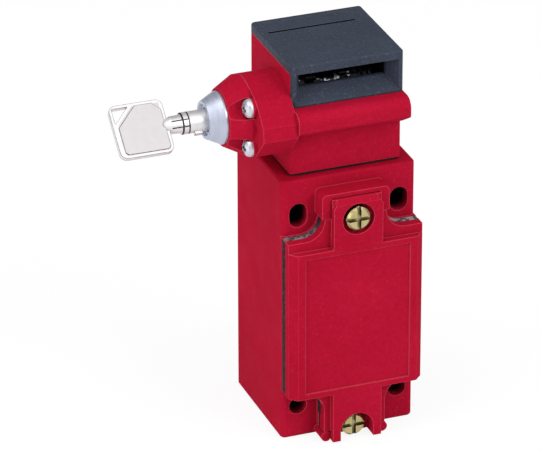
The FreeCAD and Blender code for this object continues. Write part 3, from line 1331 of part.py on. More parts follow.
def make_contacts():
    bridges = []
    strips = []
    clamps = []
    half = "bridge_width / 2"
    for height in pole_heights():
        bar = cuboid("-bridge_half", "bridge_half", f"{MIDDLE} + {half}", f"{MIDDLE} - {half}", height,
                     f"{height} + bridge_thick")
        top = f"{height} + bridge_thick"
        low = f"{height} + {CONTACT_HEIGHT}"
        for side in ("-", ""):
            across = f"{side}(bridge_half - rivet_radius - 0.1)"
            bar = bar.fuse(rivet(across, top, f"{top} + rivet_high"))
            strip = cuboid(f"{side}strip_inner", f"{side}strip_outer", "block_front", f"{MIDDLE} - {half}", low,
                           f"{low} + strip_thick")
            plate = cuboid(f"{side}(strip_inner + 0.6)", f"{side}strip_outer", "block_front + strip_thick",
                           "block_front", f"{low} - 2 * plate_half - 0.4", f"{low} + strip_thick")
            centre = f"{low} - plate_half - 0.4"
            hole_start = FreeCAD.Vector(size(f"{side}terminal_across"), -size("block_front"), size(centre))
            ahead = FreeCAD.Vector(0, -1, 0)
            hole = Part.makeCylinder(size("terminal_screw + soft_gap"), 3, hole_start, ahead)
            strip = strip.fuse(plate).fuse(rivet(across, f"{low} - rivet_high", low)).cut(hole)
            strips.append(strip.removeSplitter())
            clamp = cuboid(f"{side}(terminal_across - clamp_half)", f"{side}(terminal_across + clamp_half)",
                           "block_front + strip_thick + clamp_thick", "block_front + strip_thick",
                           f"{centre} - clamp_half", f"{centre} + clamp_half")
            clamps.append(clamp.cut(hole))
        bridges.append(bar.removeSplitter())
    shape_node("moving_bridges", bridges)
    shape_node("fixed_contacts", strips)
    shape_node("terminal_clamps", clamps)


def make_small_screws():
    head = ("terminal_head", "terminal_thick", "terminal_screw")
    reach = "terminal_head + 1"
    terminal = screw_facing_front("terminal_form", *head, "terminal_reach", reach, rounded=False)
    front = "-(block_front + strip_thick + clamp_thick)"
    spots = []
    for height in pole_heights():
        for side in ("-", ""):
            spots.append((f"{side}terminal_across", front, f"{height} + {CONTACT_HEIGHT} - plate_half - 0.4"))
    copies("terminal_screws", terminal, spots)
    shank = "block_screw_seat - rear_wall"
    long_form = screw_facing_front("block_screw_form", *head, shank, reach, rounded=False)
    copies("contact_block_screws", long_form,
           [(f"{side}block_screw", "-block_screw_seat", "block_screw_height") for side in ("-", "")])
    short = screw_facing_front("earth_form", *head, "earth_reach", reach, rounded=False)
    copies("earth_screw", short, [("-earth_across", "-earth_boss", "earth_height")])


def coil(radius, wire, height, turns, centre, axis=None):
    """Spring wound upwards in tilted half rings that meet in line, of wire drawn with eight sides."""
    halves = round(2 * turns)
    rise = height / halves / 2
    corners = []
    for corner in range(9):
        angle = math.radians(45 * corner + 22.5)
        corners.append(FreeCAD.Vector(radius + wire * math.cos(angle), 0, wire * math.sin(angle)))
    section = Part.makePolygon(corners)
    skin = [Part.Face(section)]
    for half in range(halves):
        hinge = FreeCAD.Vector(0, 0, rise * (2 * half + 1))
        upright = FreeCAD.Vector(rise if half % 2 == 0 else -rise, 0, radius)
        skin += section.revolve(hinge, upright, 180).Faces
        section = section.copy()
        section.rotate(hinge, upright, 180)
    skin.append(Part.Face(section))
    shell = Part.makeShell(skin)
    shell.sewShape()
    shape = Part.makeSolid(Part.Shell(shell.Faces))
    if axis:
        shape.rotate(FreeCAD.Vector(), axis, 90)
    shape.translate(centre)
    return shape


def make_springs():
    wire = size("spring_wire")
    low = size("block_low + block_floor") + wire
    high = size("carrier_low") - wire
    centre = FreeCAD.Vector(0, -size(MIDDLE), low)
    shape_node("return_spring", [coil(size("spring_radius"), wire, high - low, size("spring_turns"), centre)])
    wire = size("cam_spring_wire")
    start = size("claw_inner + claw_thick") + 0.6
    centre = FreeCAD.Vector(start, -size(MIDDLE), size("cam_height"))
    length = size(HEAD_INNER) - start - 0.6
    axis = FreeCAD.Vector(0, 1, 0)
    spring = coil(size("cam_spring_radius"), wire, length, size("cam_spring_turns"), centre, axis)
    shape_node("cam_spring", [spring])


make_body_housing()
make_cover_gasket()
make_front_cover()
make_cover_screws()
make_head_gasket()
make_head_housing()
make_head_screws()
make_guide_cap()
make_slot_plug()
make_cam_shaft()
make_cam_bushes()
make_drive_cam()
make_lock_housing()
make_lock_nose()
make_lock_screws()
make_inner_screws()
make_lock()
make_lock_crank()
make_key()
make_plunger_parts()
make_contact_block()
make_carrier()
make_contacts()
make_small_screws()
make_springs()
doc.recompute()

faults = [thing.Name for thing in doc.Objects if {"Invalid", "Error"} & set(thing.State)]
for piece in parts:
    if piece.Shape.isNull() or not piece.Shape.isValid():
        faults.append(piece.Label)
if faults:
    raise RuntimeError("failed objects: " + ", ".join(faults))
os.makedirs("parts", exist_ok=True)
for piece in parts:
    piece.Shape.exportStep(f"parts/{piece.Label}.step")
    spread = piece.Shape.BoundBox
    print(f"{piece.Label}: {len(piece.Shape.Solids)} solids, {piece.Shape.Volume:.0f} mm3, "
          f"Z {spread.ZMin:.2f} to {spread.ZMax:.2f}")
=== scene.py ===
import json
import math

import bmesh
import bpy
from mathutils import Matrix, Vector


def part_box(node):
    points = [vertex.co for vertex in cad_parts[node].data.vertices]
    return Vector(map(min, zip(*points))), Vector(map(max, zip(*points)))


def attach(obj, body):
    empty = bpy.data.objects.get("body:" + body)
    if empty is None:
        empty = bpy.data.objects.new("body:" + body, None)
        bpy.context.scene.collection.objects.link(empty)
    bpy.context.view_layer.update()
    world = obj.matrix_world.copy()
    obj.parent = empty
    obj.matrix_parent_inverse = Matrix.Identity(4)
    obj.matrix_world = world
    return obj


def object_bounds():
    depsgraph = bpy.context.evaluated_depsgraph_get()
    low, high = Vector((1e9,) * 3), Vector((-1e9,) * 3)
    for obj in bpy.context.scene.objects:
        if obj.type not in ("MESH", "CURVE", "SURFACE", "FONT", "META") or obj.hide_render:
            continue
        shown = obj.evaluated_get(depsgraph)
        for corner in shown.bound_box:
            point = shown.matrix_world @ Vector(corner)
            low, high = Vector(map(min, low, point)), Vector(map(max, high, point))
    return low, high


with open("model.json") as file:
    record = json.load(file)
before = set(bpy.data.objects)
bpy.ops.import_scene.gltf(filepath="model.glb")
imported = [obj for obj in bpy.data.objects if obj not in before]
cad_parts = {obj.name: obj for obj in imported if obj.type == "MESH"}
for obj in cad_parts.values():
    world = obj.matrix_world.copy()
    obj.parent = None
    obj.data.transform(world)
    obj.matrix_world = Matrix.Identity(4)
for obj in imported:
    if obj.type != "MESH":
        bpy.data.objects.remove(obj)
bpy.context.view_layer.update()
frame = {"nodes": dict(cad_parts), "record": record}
nodes = frame["nodes"]
scene = bpy.context.scene

# ---------------------------------------------------------------- sizes, in metres

MM = 0.001
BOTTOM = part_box("body_housing")[0][2]
LOCK_Y, LOCK_Z = -23.5 * MM, 87.5 * MM
ENTRY_Y = -17.0 * MM
BORE = 9.25 * MM
HOLE_SIDE = 15.0 * MM        # fixing holes, sideways from the middle
HOLE_RISE = 60.0 * MM        # upper fixing holes above the lower ones
SLOT_REACH = 1.0 * MM        # how far the upper holes are lengthened, up and down
HOLE_WALL = 2.7 * MM         # a point nearer than this to a hole's middle is on its wall
BODY_FRONT = -36.0 * MM      # where the painted shade in the holes starts
HOLE_DARK = -32.2 * MM       # where the painted shade is full

# Zones in millimetres: half width, front, back, low and high.
HEAD_INSIDE = (14.3, -33.9, -5.0, 75.9, 102.19)
BODY_INSIDE = (16.43, -41.62, -2.98, 1.98, 54.0)
TOP_GROOVE = (14.6, -12.2, -11.02, 101.0, 104.9)
COVER_LIP = (30.0, -60.0, -36.9, -20.0, 68.0)
COVER_LIP_TOP = (30.0, -60.0, -36.9, 50.0, 68.0)

# The key's bow, in the plane in which it lies.
BOW_TURN = math.radians(49.0)
FIELD_END, FIELD_TOP = -62.5 * MM, 7.1 * MM
FIELD_MIDDLE, FIELD_LENGTH, FIELD_HEIGHT = -55.95 * MM, 12.9 * MM, 14.1 * MM
FIELD_CORNER = 5.2 * MM
NECK_MIDDLE, NECK_LENGTH = -45.4 * MM, 5.0 * MM

CAMERA_TURN = math.radians(-20.61)
CAMERA_TILT = math.radians(26.68)
CAMERA_ROLL = math.radians(-0.10)
CAMERA_PLACE = (-0.4283, -1.1132, 0.6367)
FOCAL_SHARE = 8.61593        # focal length as a share of the sensor's width


# ---------------------------------------------------------------- material helpers

def srgb(r, g, b):
    """Colour written as it should look, 0 to 255."""
    def linear(value):
        value /= 255
        return value / 12.92 if value <= 0.04045 else ((value + 0.055) / 1.055) ** 2.4
    return (linear(r), linear(g), linear(b), 1.0)


class Mat:
    """Small builder for a node material around one Principled shader."""

    def __init__(self, name, colour, roughness=0.5, metallic=0.0, **sockets):
        self.material = bpy.data.materials.new(name)
        self.material.use_nodes = True
        self.material.diffuse_color = colour
        self.tree = self.material.node_tree
        self.tree.nodes.clear()
        self.out = self.node("ShaderNodeOutputMaterial")
        self.shader = self.node("ShaderNodeBsdfPrincipled")
        self.link(self.shader.outputs["BSDF"], self.out.inputs["Surface"])
        self.shader.inputs["Base Color"].default_value = colour
        self.shader.inputs["Roughness"].default_value = roughness
        self.shader.inputs["Metallic"].default_value = metallic
        for key, value in sockets.items():
            self.shader.inputs[key.replace("_", " ")].default_value = value
        self.coords = self.node("ShaderNodeTexCoord").outputs["Object"]
        self.height = None

    def node(self, kind, **values):
        made = self.tree.nodes.new(kind)
        for key, value in values.items():
            setattr(made, key, value)
        return made

    def link(self, a, b):
        self.tree.links.new(a, b)

    def noise(self, scale, detail=3.0, rough=0.5, stretch=(1, 1, 1)):
        mapping = self.node("ShaderNodeMapping")
        mapping.inputs["Scale"].default_value = stretch
        self.link(self.coords, mapping.inputs["Vector"])
        noise = self.node("ShaderNodeTexNoise")
        noise.inputs["Scale"].default_value = scale
        noise.inputs["Detail"].default_value = detail
        noise.inputs["Roughness"].default_value = rough
        self.link(mapping.outputs["Vector"], noise.inputs["Vector"])
        return noise.outputs["Fac"]

    def ramp(self, source, stops):
        ramp = self.node("ShaderNodeValToRGB")
        elements = ramp.color_ramp.elements
        while len(elements) < len(stops):
            elements.new(0.5)
        for element, (at, colour) in zip(elements, stops):
            element.position = at
            element.color = colour if len(colour) == 4 else (*colour, 1)
        self.link(source, ramp.inputs["Fac"])
        return ramp.outputs["Color"]

    def remap(self, source, low, high, to_low, to_high):
        node = self.node("ShaderNodeMapRange")
        ranges = {"From Min": low, "From Max": high, "To Min": to_low, "To Max": to_high}
        for key, value in ranges.items():
            node.inputs[key].default_value = value
        self.link(source, node.inputs["Value"])
        return node.outputs["Result"]

    def mix(self, factor, a, b, blend="MIX"):
        node = self.node("ShaderNodeMix", data_type="RGBA", blend_type=blend)
        for value, socket in ((factor, node.inputs[0]), (a, node.inputs[6]), (b, node.inputs[7])):
            if hasattr(value, "is_output"):
                self.link(value, socket)
            else:
                socket.default_value = value
        return node.outputs[2]

    def bump(self, source, strength, distance):
        node = self.node("ShaderNodeBump")
        node.inputs["Strength"].default_value = strength
        node.inputs["Distance"].default_value = distance
        self.link(source, node.inputs["Height"])
        if self.height:
            self.link(self.height, node.inputs["Normal"])
        self.height = node.outputs["Normal"]
        self.link(self.height, self.shader.inputs["Normal"])

    def round_edges(self, radius, samples=6):
        """Softened look of moulded and cast edges."""
        node = self.node("ShaderNodeBevel", samples=samples)
        node.inputs["Radius"].default_value = radius
        self.height = node.outputs["Normal"]
        self.link(self.height, self.shader.inputs["Normal"])

    def edge_mask(self, radius):
        """1 near sharp edges, 0 on faces."""
        bevel = self.node("ShaderNodeBevel", samples=8)
        bevel.inputs["Radius"].default_value = radius
        geometry = self.node("ShaderNodeNewGeometry")
        dot = self.node("ShaderNodeVectorMath", operation="DOT_PRODUCT")
        self.link(bevel.outputs["Normal"], dot.inputs[0])
        self.link(geometry.outputs["Normal"], dot.inputs[1])
        return self.remap(dot.outputs["Value"], 0.98, 0.80, 0.0, 1.0)

    def crevices(self, reach):
        """1 deep in slots and corners, 0 on open faces; a mask for painted shade."""
        node = self.node("ShaderNodeAmbientOcclusion", samples=8)
        node.inputs["Distance"].default_value = reach
        return self.remap(node.outputs["AO"], 0.75, 0.35, 0.0, 1.0)

    def maths(self, operation, a, b):
        node = self.node("ShaderNodeMath", operation=operation)
        for value, socket in ((a, node.inputs[0]), (b, node.inputs[1])):
            if hasattr(value, "is_output"):
                self.link(value, socket)
            else:
                socket.default_value = value
        return node.outputs[0]

    def along(self, axis):
        """Place along one axis of the frame, in metres."""
        spot = self.node("ShaderNodeSeparateXYZ")
        self.link(self.coords, spot.inputs[0])
        return spot.outputs[axis]

    def line(self, value, at, width):
        """1 where the value is within a width of a place."""
        far = self.maths("ABSOLUTE", self.maths("SUBTRACT", value, at), 0)
        return self.maths("LESS_THAN", far, width / 2)

    def bore_walls(self):
        """1 on the walls of the body's four fixing holes, of which the upper two are slots."""
        across = self.maths("SUBTRACT", self.maths("ABSOLUTE", self.along(0), 0), HOLE_SIDE)
        upper = self.maths("ABSOLUTE", self.maths("SUBTRACT", self.along(2), HOLE_RISE), 0)
        upper = self.maths("MAXIMUM", self.maths("SUBTRACT", upper, SLOT_REACH), 0)
        up = self.maths("MINIMUM", upper, self.maths("ABSOLUTE", self.along(2), 0))
        far = self.maths("ADD", self.maths("MULTIPLY", across, across), self.maths("MULTIPLY", up, up))
        return self.maths("LESS_THAN", far, HOLE_WALL ** 2)

    def within(self, box):
        """1 inside a box given in millimetres as half width, then Y and Z limits."""
        half, front, back, low, high = box
        factor = self.maths("LESS_THAN", self.maths("ABSOLUTE", self.along(0), 0), half * MM)
        for axis, start, end in ((1, front, back), (2, low, high)):
            place = self.along(axis)
            factor = self.maths("MULTIPLY", factor, self.maths("GREATER_THAN", place, start * MM))
            factor = self.maths("MULTIPLY", factor, self.maths("LESS_THAN", place, end * MM))
        return factor


def red_coat():
    """Painted casting: mottled red, with painted shade in corners and deep in the fixing holes, painted
    highlights along edges, bare metal inside the body and painted shade inside the head.
    """
    m = Mat("red_coat", srgb(174, 21, 50), roughness=0.6)
    m.shader.inputs["Specular IOR Level"].default_value = 0.01
    m.round_edges(0.4 * MM, 8)
    tone = m.ramp(m.noise(45.0, 4.0, 0.55), [(0.3, srgb(167, 17, 45)), (0.7, srgb(178, 22, 52))])
    grain = m.remap(m.noise(900.0, 3.0, 0.7), 0.35, 0.65, 0.0, 0.34)
    tone = m.mix(grain, tone, srgb(146, 11, 32))
    speck = m.remap(m.noise(1300.0, 2.0, 0.8), 0.60, 0.72, 0.0, 0.35)
    tone = m.mix(speck, tone, srgb(206, 52, 72))
    # Painted shade: darker deep in slots and corners.
    tone = m.mix(m.remap(m.crevices(0.9 * MM), 0.0, 1.0, 0.0, 0.7), tone, srgb(92, 8, 24))
    # Painted highlight: paler pink along sharp edges.
    shaded_and_highlit = m.mix(m.remap(m.edge_mask(0.36 * MM), 0.0, 1.0, 0.0, 0.8), tone, srgb(226, 88, 102))
    # Painted shade: near black inside the head, where little light gets in. The body's inside below is bare
    # metal.
    shaded_and_highlit = m.mix(m.within(HEAD_INSIDE), shaded_and_highlit, srgb(26, 22, 22))
    shaded_and_highlit = m.mix(m.within(BODY_INSIDE), shaded_and_highlit, srgb(128, 124, 122))
    # Painted shade: the fixing holes' walls darken from their mouths inwards.
    bore_shade = m.ramp(m.noise(420.0, 3.0), [(0.4, srgb(14, 9, 9)), (0.7, srgb(58, 30, 34))])
    depth = m.remap(m.along(1), BODY_FRONT, HOLE_DARK, 0.0, 1.0)
    shaded_and_highlit = m.mix(m.maths("MULTIPLY", m.bore_walls(), depth), shaded_and_highlit, bore_shade)
    m.link(shaded_and_highlit, m.shader.inputs["Base Color"])
    m.link(m.remap(m.noise(160.0, 3.0), 0.3, 0.7, 0.54, 0.68), m.shader.inputs["Roughness"])
    m.bump(m.noise(1500.0, 2.0), 0.16, 0.12 * MM)
    m.bump(m.noise(420.0, 2.0), 0.10, 0.2 * MM)
    return m.material


def slate_plastic():
    """Moulded tongue guide with fine grain, painted highlights along its edges, and its blanked slot as a
    groove in painted shade.
    """
    m = Mat("slate_plastic", srgb(50, 56, 70), roughness=0.6)
    m.shader.inputs["Specular IOR Level"].default_value = 0.18
    m.round_edges(0.35 * MM, 8)
    tone = m.ramp(m.noise(60.0, 4.0), [(0.3, srgb(46, 52, 66)), (0.7, srgb(54, 60, 75))])
    speck = m.remap(m.noise(1400.0, 2.0, 0.7), 0.56, 0.68, 0.0, 0.5)
    tone = m.mix(speck, tone, srgb(88, 94, 110))
    # Painted highlight: paler along sharp edges.
    tone = m.mix(m.remap(m.edge_mask(0.35 * MM), 0.0, 1.0, 0.0, 0.4), tone, srgb(104, 110, 128))
    # Painted shade: the groove on top is painted near black.
    tone = m.mix(m.within(TOP_GROOVE), tone, srgb(10, 10, 13))
    m.link(tone, m.shader.inputs["Base Color"])
    m.link(m.remap(m.noise(300.0, 2.0), 0.3, 0.7, 0.52, 0.68), m.shader.inputs["Roughness"])
    m.bump(m.noise(3200.0, 2.0, 0.6), 0.3, 0.06 * MM)
    return m.material


def black_rubber():
    """Gasket rubber; the cover's lip has pale specks, and a painted highlight where it faces up, stronger
    towards the right.
    """
    m = Mat("black_rubber", srgb(30, 22, 22), roughness=0.8)
    m.shader.inputs["Specular IOR Level"].default_value = 0.2
    tone = m.ramp(m.noise(200.0, 3.0), [(0.3, srgb(24, 15, 18)), (0.7, srgb(44, 30, 36))])
    speck = m.remap(m.noise(900.0, 2.0, 0.8), 0.52, 0.64, 0.0, 0.28)
    speck = m.maths("MULTIPLY", speck, m.within(COVER_LIP))
    tone = m.mix(speck, tone, srgb(112, 100, 106))
    facing = m.node("ShaderNodeSeparateXYZ")
    m.link(m.node("ShaderNodeNewGeometry").outputs["Normal"], facing.inputs[0])
    # Painted highlight: paler where the lip faces up, stronger towards the right.
    painted_sheen = m.maths("MULTIPLY", m.remap(facing.outputs[2], 0.35, 0.85, 0.0, 0.75), m.within(COVER_LIP_TOP))
    painted_sheen = m.maths("MULTIPLY", painted_sheen, m.remap(m.noise(700.0, 2.0, 0.8), 0.44, 0.54, 0.1, 1.0))
    painted_sheen = m.maths("MULTIPLY", painted_sheen, m.remap(m.along(0), -15 * MM, 15 * MM, 0.55, 1.0))
    m.link(m.mix(painted_sheen, tone, srgb(176, 164, 170)), m.shader.inputs["Base Color"])
    m.bump(m.noise(2200.0, 2.0), 0.2, 0.05 * MM)
    return m.material


def metal(name, colour, other, roughness, scale=260.0, stretch=(1, 1, 1), bump=0.08, edge_shading=None,
          crevice_shade=None, edge_width=0.2, edge_share=0.6, reach=1.0, stops=(0.3, 0.7)):
    """Metal of two tones, with colour painted along its edges as highlight where paler and shade where
    darker, and painted shade in its crevices, when these colours are given.
    """
    m = Mat(name, srgb(*colour), roughness=roughness, metallic=1.0)
    m.round_edges(0.15 * MM, 6)
    tone = m.ramp(m.noise(scale, 4.0, 0.6, stretch), [(stops[0], srgb(*other)), (stops[1], srgb(*colour))])
    # Colour painted along sharp edges: a painted highlight where paler, painted shade where darker.
    if edge_shading:
        mask = m.remap(m.edge_mask(edge_width * MM), 0.0, 1.0, 0.0, edge_share)
        tone = m.mix(mask, tone, srgb(*edge_shading))
    # Painted shade in crevices.
    if crevice_shade:
        tone = m.mix(m.crevices(reach * MM), tone, srgb(*crevice_shade))
    m.link(tone, m.shader.inputs["Base Color"])
    m.link(m.remap(m.noise(scale * 2, 3.0, 0.5, stretch), 0.3, 0.7, roughness * 0.8, roughness * 1.25),
           m.shader.inputs["Roughness"])
    m.bump(m.noise(scale * 6, 2.0, 0.5, stretch), bump, 0.03 * MM)
    return m.material


def nickel_key():
    """Nickelled key: grey field inside a paler rim, a dark outline of painted shade along its edges, and
    painted shade for grooves round the neck of its tube.
    """
    m = Mat("nickel_key", srgb(236, 234, 235), roughness=0.5, metallic=1.0)
    m.round_edges(0.15 * MM, 6)
    x = m.along(0)
    back = m.maths("SUBTRACT", m.along(1), LOCK_Y)
    up = m.maths("SUBTRACT", m.along(2), LOCK_Z)
    high = m.maths("ADD", m.maths("MULTIPLY", back, math.sin(BOW_TURN)),
                   m.maths("MULTIPLY", up, math.cos(BOW_TURN)))
    field = m.maths("MULTIPLY", m.line(x, FIELD_MIDDLE, FIELD_LENGTH), m.line(high, 0.0, FIELD_HEIGHT))
    from_corner = m.maths("SUBTRACT", m.maths("SUBTRACT", x, FIELD_END), m.maths("SUBTRACT", high, FIELD_TOP))
    corner = m.maths("GREATER_THAN", from_corner, FIELD_CORNER)
    tone = m.mix(m.maths("MULTIPLY", field, corner), srgb(234, 232, 233), srgb(210, 206, 207))
    tone = m.mix(m.remap(m.noise(500.0, 3.0), 0.4, 0.7, 0.0, 0.25), tone, srgb(196, 193, 195))
    # Painted shade: dark outline along the key's edges.
    tone = m.mix(m.remap(m.edge_mask(0.42 * MM), 0.0, 1.0, 0.0, 0.95), tone, srgb(52, 50, 54))
    # Painted shade for grooves: dark lines along the tube's flanks as the camera sees them, and two dark
    # rings round the neck.
    across = m.maths("ADD", m.maths("MULTIPLY", up, math.cos(CAMERA_TILT)),
                     m.maths("MULTIPLY", back, math.sin(CAMERA_TILT) * math.cos(CAMERA_TURN)))
    groove_shade = m.maths("MAXIMUM", m.line(across, 1.0 * MM, 0.34 * MM), m.line(across, -0.9 * MM, 0.34 * MM))
    groove_shade = m.maths("MULTIPLY", groove_shade, m.line(x, NECK_MIDDLE, NECK_LENGTH))
    rings = m.maths("MAXIMUM", m.line(x, -43.0 * MM, 0.4 * MM), m.line(x, -44.75 * MM, 0.45 * MM))
    tone = m.mix(m.maths("MAXIMUM", groove_shade, rings), tone, srgb(62, 58, 60))
    m.link(tone, m.shader.inputs["Base Color"])
    return m.material


def plastic(name, colour, other, roughness=0.5):
    """Moulded plastic of two close tones."""
    m = Mat(name, srgb(*colour), roughness=roughness)
    m.round_edges(0.2 * MM, 6)
    m.link(m.ramp(m.noise(120.0, 3.0), [(0.3, srgb(*other)), (0.7, srgb(*colour))]),
           m.shader.inputs["Base Color"])
    m.bump(m.noise(2600.0, 2.0), 0.12, 0.04 * MM)
    return m.material


looks = {
    "red_coat": red_coat(),
    "slate_plastic": slate_plastic(),
    "black_rubber": black_rubber(),
    # Yellow zinc: painted highlight along edges, painted shade in crevices.
    "yellow_zinc": metal("yellow_zinc", (204, 192, 142), (176, 162, 108), 0.42, edge_shading=(232, 224, 190),
                         crevice_shade=(66, 52, 28), reach=2.2),
    # Bright zinc: painted shade in crevices.
    "bright_zinc": metal("bright_zinc", (224, 226, 234), (198, 201, 212), 0.5, crevice_shade=(62, 62, 72)),
    # Satin bezel: painted shade as a dark outline along its edges.
    "satin_bezel": metal("satin_bezel", (208, 213, 228), (184, 190, 208), 0.46, 500.0, (1, 0.1, 0.1), 0.03,
                         edge_shading=(92, 96, 112), edge_width=0.3, edge_share=0.7),
    "nickel_key": nickel_key(),
    # Tool steel: painted shade near black with small painted glints, for the cam in the head's dark slot.
    "tool_steel": metal("tool_steel", (222, 222, 228), (20, 20, 22), 0.34, 420.0, (0.6, 1, 1),
                        stops=(0.52, 0.64)),
    "lock_brass": metal("lock_brass", (212, 176, 104), (190, 150, 80), 0.3),
    "spring_steel": metal("spring_steel", (150, 150, 156), (120, 120, 126), 0.3),
    "cream_plastic": plastic("cream_plastic", (222, 216, 200), (210, 203, 186)),
    "grey_plastic": plastic("grey_plastic", (120, 122, 127), (108, 110, 115)),
    "contact_metal": metal("contact_metal", (214, 160, 112), (190, 138, 92), 0.28),
}
for part in frame["record"]["subparts"]:
    piece = nodes[part["node"]]
    piece.data.materials.clear()
    piece.data.materials.append(looks[part["material_slot"]])


# ---------------------------------------------------------------- cable thread

def mesh_piece(name, bm, body, slot):
    """Blender piece made from a bmesh, riding on a CAD body."""
    mesh = bpy.data.meshes.new(name)
    bm.normal_update()
    bm.to_mesh(mesh)
    bm.free()
    obj = bpy.data.objects.new(name, mesh)
    scene.collection.objects.link(obj)
    mesh.materials.append(looks[slot])
    for face in mesh.polygons:
        face.use_smooth = True
    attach(obj, body)
    return obj


def thread_ridge(name, radius, depth, pitch, low, high, body, slot, centre, steps=48):
    """Helical ridge of an inside thread, standing inwards from its bore."""
    profile = ((0.02, -0.36), (-1.0, -0.08), (-1.0, 0.08), (0.02, 0.36))
    bm = bmesh.new()
    count = int((high - low) / pitch * steps)
    rings = []
    for i in range(count + 1):
        angle = 2 * math.pi * i / steps
        z = low + pitch * i / steps
        fade = min(1.0, i / (steps / 3), (count - i) / (steps / 3))
        ring = []
        for across, up in profile:
            r = radius + depth * across * (fade if across < 0 else 1)
            x = centre[0] + r * math.cos(angle)
            y = centre[1] + r * math.sin(angle)
            ring.append(bm.verts.new((x, y, z + up * pitch)))
        rings.append(ring)
    for a, b in zip(rings, rings[1:]):
        for k in range(3):
            bm.faces.new((a[k], a[k + 1], b[k + 1], b[k]))
        bm.faces.new((a[3], a[0], b[0], b[3]))
    bm.faces.new(rings[0][::-1])
    bm.faces.new(rings[-1])
    bmesh.ops.recalc_face_normals(bm, faces=bm.faces)
    return mesh_piece(name, bm, body, slot)


THREAD_DEPTH, THREAD_PITCH = 0.8 * MM, 1.5 * MM
THREAD_LOW, THREAD_HIGH = BOTTOM + 1.6 * MM, BOTTOM + 11.0 * MM
thread_ridge("cable_entry_thread", BORE, THREAD_DEPTH, THREAD_PITCH, THREAD_LOW, THREAD_HIGH, "switch",
             "bright_zinc", (0, ENTRY_Y))

# ---------------------------------------------------------------- lip of the cover gasket

LIP_SIDE = 20.0              # the lip's straight run, sideways from the middle, in millimetres
LIP_ROUND = 5.8              # its arcs round the fixing holes
LIP_CORNER = 0.3             # bevel between arc and straight run
LIP_START = (9.2, -2.5)
LIP_MIDDLE, LIP_HALF = -38.25, 1.15
LIP_PROUD, LIP_SUNK = 0.2, -0.5


def arc(centre, radius, start, end, steps=14):
    """Points on an arc of the X-Z plane, angles in degrees."""
    points = []
    for i in range(steps + 1):
        angle = math.radians(start + (end - start) * i / steps)
        points.append((centre[0] + radius * math.cos(angle), centre[1] + radius * math.sin(angle)))
    return points


def gasket_lip(side):
    """Rubber that the screwed-down cover squeezes out between cover and body, on one side."""
    across, rise = HOLE_SIDE / MM, HOLE_RISE / MM
    low, high = LIP_ROUND, rise - LIP_ROUND
    run = [LIP_START, *arc((across, 0.0), LIP_ROUND, 180, 90)]
    run += [(LIP_SIDE - LIP_CORNER, low), (LIP_SIDE, low + LIP_CORNER)]
    run += [(LIP_SIDE, high - LIP_CORNER), (LIP_SIDE - LIP_CORNER, high)]
    run += arc((across, rise), LIP_ROUND, 270, 180)
    profile = []
    for i in range(9):
        angle = math.radians(-90 + 22.5 * i)
        profile.append((-0.02 + LIP_PROUD * math.cos(angle), LIP_MIDDLE + LIP_HALF * math.sin(angle)))
    profile += [(LIP_SUNK, LIP_MIDDLE + LIP_HALF), (LIP_SUNK, LIP_MIDDLE - LIP_HALF)]
    bm = bmesh.new()
    rings = []
    for i, (x, z) in enumerate(run):
        ahead = Vector(run[min(i + 1, len(run) - 1)]) - Vector(run[max(i - 1, 0)])
        out = Vector((ahead.y, -ahead.x)).normalized()
        ring = []
        for proud, y in profile:
            place = x + out.x * proud
            if side > 0:
                place = min(place, LIP_SIDE)
            ring.append(bm.verts.new((side * place * MM, y * MM, (z + out.y * proud) * MM)))
        rings.append(ring)
    count = len(profile)
    for a, b in zip(rings, rings[1:]):
        for k in range(count):
            bm.faces.new((a[k], a[(k + 1) % count], b[(k + 1) % count], b[k]))
    bm.faces.new(rings[0])
    bm.faces.new(rings[-1][::-1])
    bmesh.ops.recalc_face_normals(bm, faces=bm.faces)
    name = "cover_gasket_lip_left" if side < 0 else "cover_gasket_lip_right"
    return mesh_piece(name, bm, "switch", "black_rubber")


for side in (-1, 1):
    gasket_lip(side)

# ---------------------------------------------------------------- floor, light and camera

def stage_material():
    """White for the camera and for reflections, with the object's faint shadow kept."""
    m = Mat("stage_white", (0.9, 0.9, 0.9, 1), roughness=0.9)
    path = m.node("ShaderNodeLightPath")
    seen = m.node("ShaderNodeMath", operation="MAXIMUM")
    m.link(path.outputs["Is Camera Ray"], seen.inputs[0])
    more = m.node("ShaderNodeMath", operation="MAXIMUM")
    m.link(path.outputs["Is Glossy Ray"], more.inputs[0])
    m.link(path.outputs["Is Transmission Ray"], more.inputs[1])
    m.link(more.outputs[0], seen.inputs[1])
    glow = m.node("ShaderNodeEmission")
    glow.inputs["Color"].default_value = (1, 1, 1, 1)
    glow.inputs["Strength"].default_value = 1.03
    share = m.node("ShaderNodeMath", operation="MULTIPLY")
    share.inputs[1].default_value = 0.86
    m.link(seen.outputs[0], share.inputs[0])
    mixer = m.node("ShaderNodeMixShader")
    m.link(share.outputs[0], mixer.inputs[0])
    m.link(m.shader.outputs["BSDF"], mixer.inputs[1])
    m.link(glow.outputs["Emission"], mixer.inputs[2])
    m.link(mixer.outputs[0], m.out.inputs["Surface"])
    return m.material


bm = bmesh.new()
reach = 6.0
floor_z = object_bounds()[0][2] - 0.0002
around = ((-reach, -reach), (reach, -reach), (reach, reach), (-reach, reach))
bm.faces.new([bm.verts.new((x, y, floor_z)) for x, y in around])
mesh = bpy.data.meshes.new("floor")
bm.to_mesh(mesh)
bm.free()
floor = bpy.data.objects.new("floor", mesh)
mesh.materials.append(stage_material())
scene.collection.objects.link(floor)

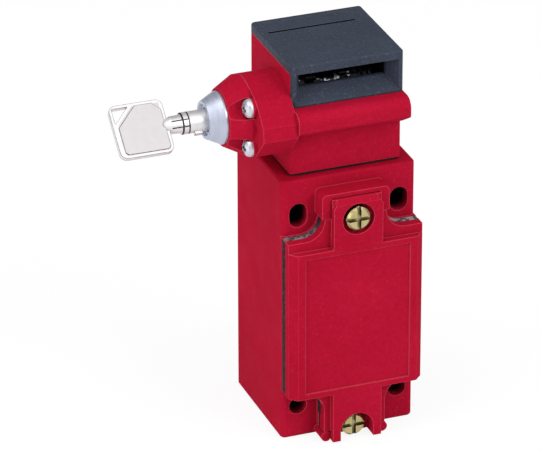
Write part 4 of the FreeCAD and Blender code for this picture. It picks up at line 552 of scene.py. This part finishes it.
world = bpy.data.worlds.new("studio")
scene.world = world
world.use_nodes = True
tree = world.node_tree
tree.nodes.clear()
out = tree.nodes.new("ShaderNodeOutputWorld")
path = tree.nodes.new("ShaderNodeLightPath")
dim = tree.nodes.new("ShaderNodeBackground")
dim.inputs["Color"].default_value = (1.0, 1.0, 1.0, 1)
dim.inputs["Strength"].default_value = 0.38
white = tree.nodes.new("ShaderNodeBackground")
white.inputs["Color"].default_value = (1, 1, 1, 1)
white.inputs["Strength"].default_value = 1.0
seen = tree.nodes.new("ShaderNodeMath")
seen.operation = "MAXIMUM"
tree.links.new(path.outputs["Is Camera Ray"], seen.inputs[0])
tree.links.new(path.outputs["Is Transmission Ray"], seen.inputs[1])
mixer = tree.nodes.new("ShaderNodeMixShader")
tree.links.new(seen.outputs[0], mixer.inputs[0])
tree.links.new(dim.outputs[0], mixer.inputs[1])
tree.links.new(white.outputs[0], mixer.inputs[2])
tree.links.new(mixer.outputs[0], out.inputs["Surface"])


def area_light(name, place, target, size, watts):
    """Rectangular white lamp that faces its target."""
    data = bpy.data.lights.new(name, "AREA")
    data.shape = "RECTANGLE"
    data.size, data.size_y = size
    data.energy = watts
    lamp = bpy.data.objects.new(name, data)
    lamp.location = place
    lamp.rotation_euler = (Vector(target) - Vector(place)).to_track_quat("-Z", "Y").to_euler()
    scene.collection.objects.link(lamp)


middle = (0.0, -0.02, 0.05)
area_light("key_light", (0.55, -0.85, 0.75), middle, (0.7, 0.7), 7.5)
area_light("top_light", (-0.25, -0.15, 0.95), middle, (0.7, 0.5), 3.5)
area_light("left_light", (-0.95, -0.35, 0.35), middle, (0.6, 0.7), 4.6)

camera_data = bpy.data.cameras.new("camera")
camera_data.sensor_width = 36.0
camera_data.lens = FOCAL_SHARE * camera_data.sensor_width
camera_data.clip_start = 0.05
camera_data.clip_end = 50.0
camera = bpy.data.objects.new("camera", camera_data)
turn = Matrix.Rotation(CAMERA_TURN, 4, "Z") @ Matrix.Rotation(math.pi / 2 - CAMERA_TILT, 4, "X")
turn = turn @ Matrix.Rotation(CAMERA_ROLL, 4, "Z")
camera.matrix_world = Matrix.Translation(CAMERA_PLACE) @ turn
scene.collection.objects.link(camera)
scene.camera = camera

scene.view_settings.view_transform = "Standard"
